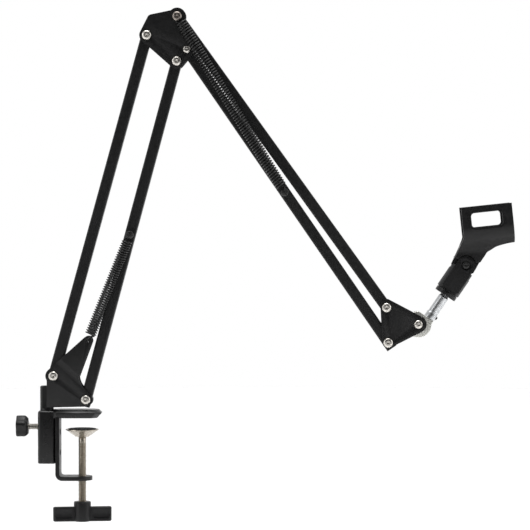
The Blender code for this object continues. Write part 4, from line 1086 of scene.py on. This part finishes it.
def make_clip_base():
    """The socket with its fork, the thread insert in it, and the pivot screw and nut."""
    rim = RIM_AT - PIVOT_J_AT
    frame_k = lean_frame(K, ROD_LEAN)
    bm = bmesh.new()
    turned(bm, [(POINT, rim), (RIM - 0.6 * MM, rim), (RIM - 0.15 * MM, rim + 0.2 * MM),
                (RIM, rim + 0.7 * MM), (RIM, rim + 3.9 * MM), (RIM - 0.2 * MM, rim + 4.2 * MM),
                (RIM - 0.7 * MM, rim + 4.4 * MM), (RIM - 0.7 * MM, rim + 4.8 * MM),
                (SOCKET - 0.3 * MM, rim + 5.0 * MM), (SOCKET, rim + 5.5 * MM),
                (SOCKET, -SHOULDER - 0.5 * MM), (SOCKET - 0.5 * MM, -SHOULDER),
                (POINT, -SHOULDER)], "X", segments=96)
    obj = new_object("clip_base_detailed", bm, frame_k)
    foot = rim + 8.0 * MM
    outline = [(foot, EAR - J_OFF_AXIS), (foot, -EAR - J_OFF_AXIS)]
    carve(obj, outline + arc((0, -J_OFF_AXIS), EAR, -90, 90, 36), -EAR_HALF, EAR_HALF, "UNION")
    flats = bmesh.new()
    for side in (-1, 1):
        prism(flats, box_points((rim + 5.2 * MM, -20 * MM), (20 * MM, 20 * MM)), side * EAR_HALF,
              side * 20 * MM)
    cut(obj, "DIFFERENCE", flats)
    wide = TONGUE_HALF + GAP
    outline = [(13 * MM, 18 * MM)] + arc((0, -J_OFF_AXIS), FIN_REACH + 0.4 * MM, 90, 270, 36)
    carve(obj, outline + [(13 * MM, -18 * MM)], -wide, wide)
    drill(obj, [(0, 0, -J_OFF_AXIS, PIVOT_HOLE)])
    pockets = bmesh.new()
    for side in (-1, 1):
        turned(pockets, [(5.0 * MM, side * 7.0 * MM), (5.0 * MM, side * 14 * MM)], "Y",
               (0, 0, -J_OFF_AXIS), 64)
    cut(obj, "DIFFERENCE", pockets)
    mouth, insert_fit = 5.0 * MM, 8.3 * MM
    bore(obj, [(mouth, rim - 5 * MM), (mouth, rim + 1.5 * MM), (insert_fit, rim + 1.5 * MM),
               (insert_fit, rim + 16.4 * MM)], "X")
    dress(obj, PLASTIC, "clip_socket", ["clip_base"], bevel=0.45 * MM, segments=3)

    sleeve = bmesh.new()
    ring = in_mm((4.7, 2.1), (5.0, 1.8), (7.7, 1.8), (8.0, 2.1), (8.0, 15.7), (7.7, 16.0), (5.0, 16.0),
                 (4.7, 15.7))
    turned(sleeve, [(r, rim + x) for r, x in ring], "X", around=True)
    dress(new_object("thread_insert_detailed", sleeve, frame_k), BRASS,
          "clip_socket", ["thread_insert"])

    seat = 7.3 * MM
    shank = 2.0 * MM
    screw = bmesh.new()
    turned(screw, [(POINT, -seat - 1.5 * MM), (2.2 * MM, -seat - 1.5 * MM), (3.2 * MM, -seat - 1.2 * MM),
                   (3.7 * MM, -seat - 0.6 * MM), (3.7 * MM, -seat), (shank, -seat),
                   (shank, 9.0 * MM), (shank - 0.2 * MM, 9.2 * MM)], "Y")
    obj = new_object("clip_pivot_screw_detailed", screw, lean_frame(J))
    carve(obj, box_points((-5 * MM, -0.45 * MM), (5 * MM, 0.45 * MM)), -seat - 3 * MM, -seat - 0.8 * MM)
    dress(obj, BLACK_STEEL, "clip_socket", ["clip_pivot_screw"], bevel=SCREW_EDGE)
    nut("clip_pivot_nut", J, "clip_socket", seat, shank, SMALL_FLATS, 1.9 * MM)


def clip_neck():
    """The neck that widens from the pivot to the saddle, lofted through smooth slices."""
    corner = 1.2
    profile = curve_through([(left, right, half, height) for height, left, right, half in NECK_LEVELS], 3)
    rings = []
    for left, right, half, height in profile:
        right = min(right, NECK_RIGHT)
        outline = rounded_box(((left + right) / 2, 0), ((right - left) / 2, half), corner, 4)
        rings.append([Vector((x, y, height)) * MM for x, y in outline])
    bm = bmesh.new()
    loft(bm, rings)
    return bm


def make_clip():
    """The U-shaped saddle on its neck and tongue, with a recessed window through each side."""
    inner = SADDLE - SADDLE_WALL
    lip = 0.6 * MM
    section = [(-SADDLE + lip, SADDLE_TOP)] + arc((0, SADDLE_AXIS), SADDLE, 180, 360, 48)
    section += [(SADDLE - lip, SADDLE_TOP), (inner - lip, SADDLE_TOP)]
    section += arc((0, SADDLE_AXIS), inner, 360, 180, 48) + [(-inner + lip, SADDLE_TOP)]
    bm = bmesh.new()
    loft(bm, [[Vector((x, y, z)) for y, z in section] for x in (SADDLE_START, SADDLE_END)])
    obj = new_object("clip_body_detailed", bm, lean_frame(J, CLIP_LEAN))
    cut(obj, "UNION", clip_neck())
    relief = bmesh.new()
    for side in (-1, 1):
        turned(relief, [(EAR + 0.6 * MM, side * TONGUE_HALF), (EAR + 0.6 * MM, side * 30 * MM)],
               "Y", segments=96)
    cut(obj, "DIFFERENCE", relief)
    tongue = in_mm((-6.0, 15.8), (-13.9, 2.6), (-12.0, -5.0), (0.0, -10.0), (6.2, -8.6), (9.2, -4.6),
                   (14.1, 2.5), (16.0, 15.0))
    carve(obj, tongue, -TONGUE_HALF, TONGUE_HALF, "UNION")
    drill(obj, [(0, 0, 0, PIVOT_HOLE)])
    bore(obj, [(inner, SADDLE_START - 5 * MM), (inner, SADDLE_END + 5 * MM)], "X",
         (0, 0, SADDLE_AXIS), 96)

    def window(grow):
        half = (WINDOW_HALF[0] + grow, WINDOW_HALF[1] + grow)
        return rounded_box(WINDOW_CENTRE, half, 3.4 * MM + grow, 12)

    recess, recess_depth = 2.0 * MM, 0.9 * MM
    carve(obj, window(0.0), -40 * MM, 40 * MM)
    for side in (-1, 1):
        carve(obj, window(recess), side * (SADDLE - recess_depth), side * 30 * MM)
    dress(obj, PLASTIC, "clip", ["clip_body"], bevel=0.6 * MM, segments=4)


make_camera()
make_studio()
make_tubes()
make_plates()
make_fasteners()
make_springs()
make_clamp_head()
make_bracket()
make_clamp_screw()
make_handle()
make_thumb_screw()
make_post()
make_knuckle()
make_rod()
make_clip_base()
make_clip()
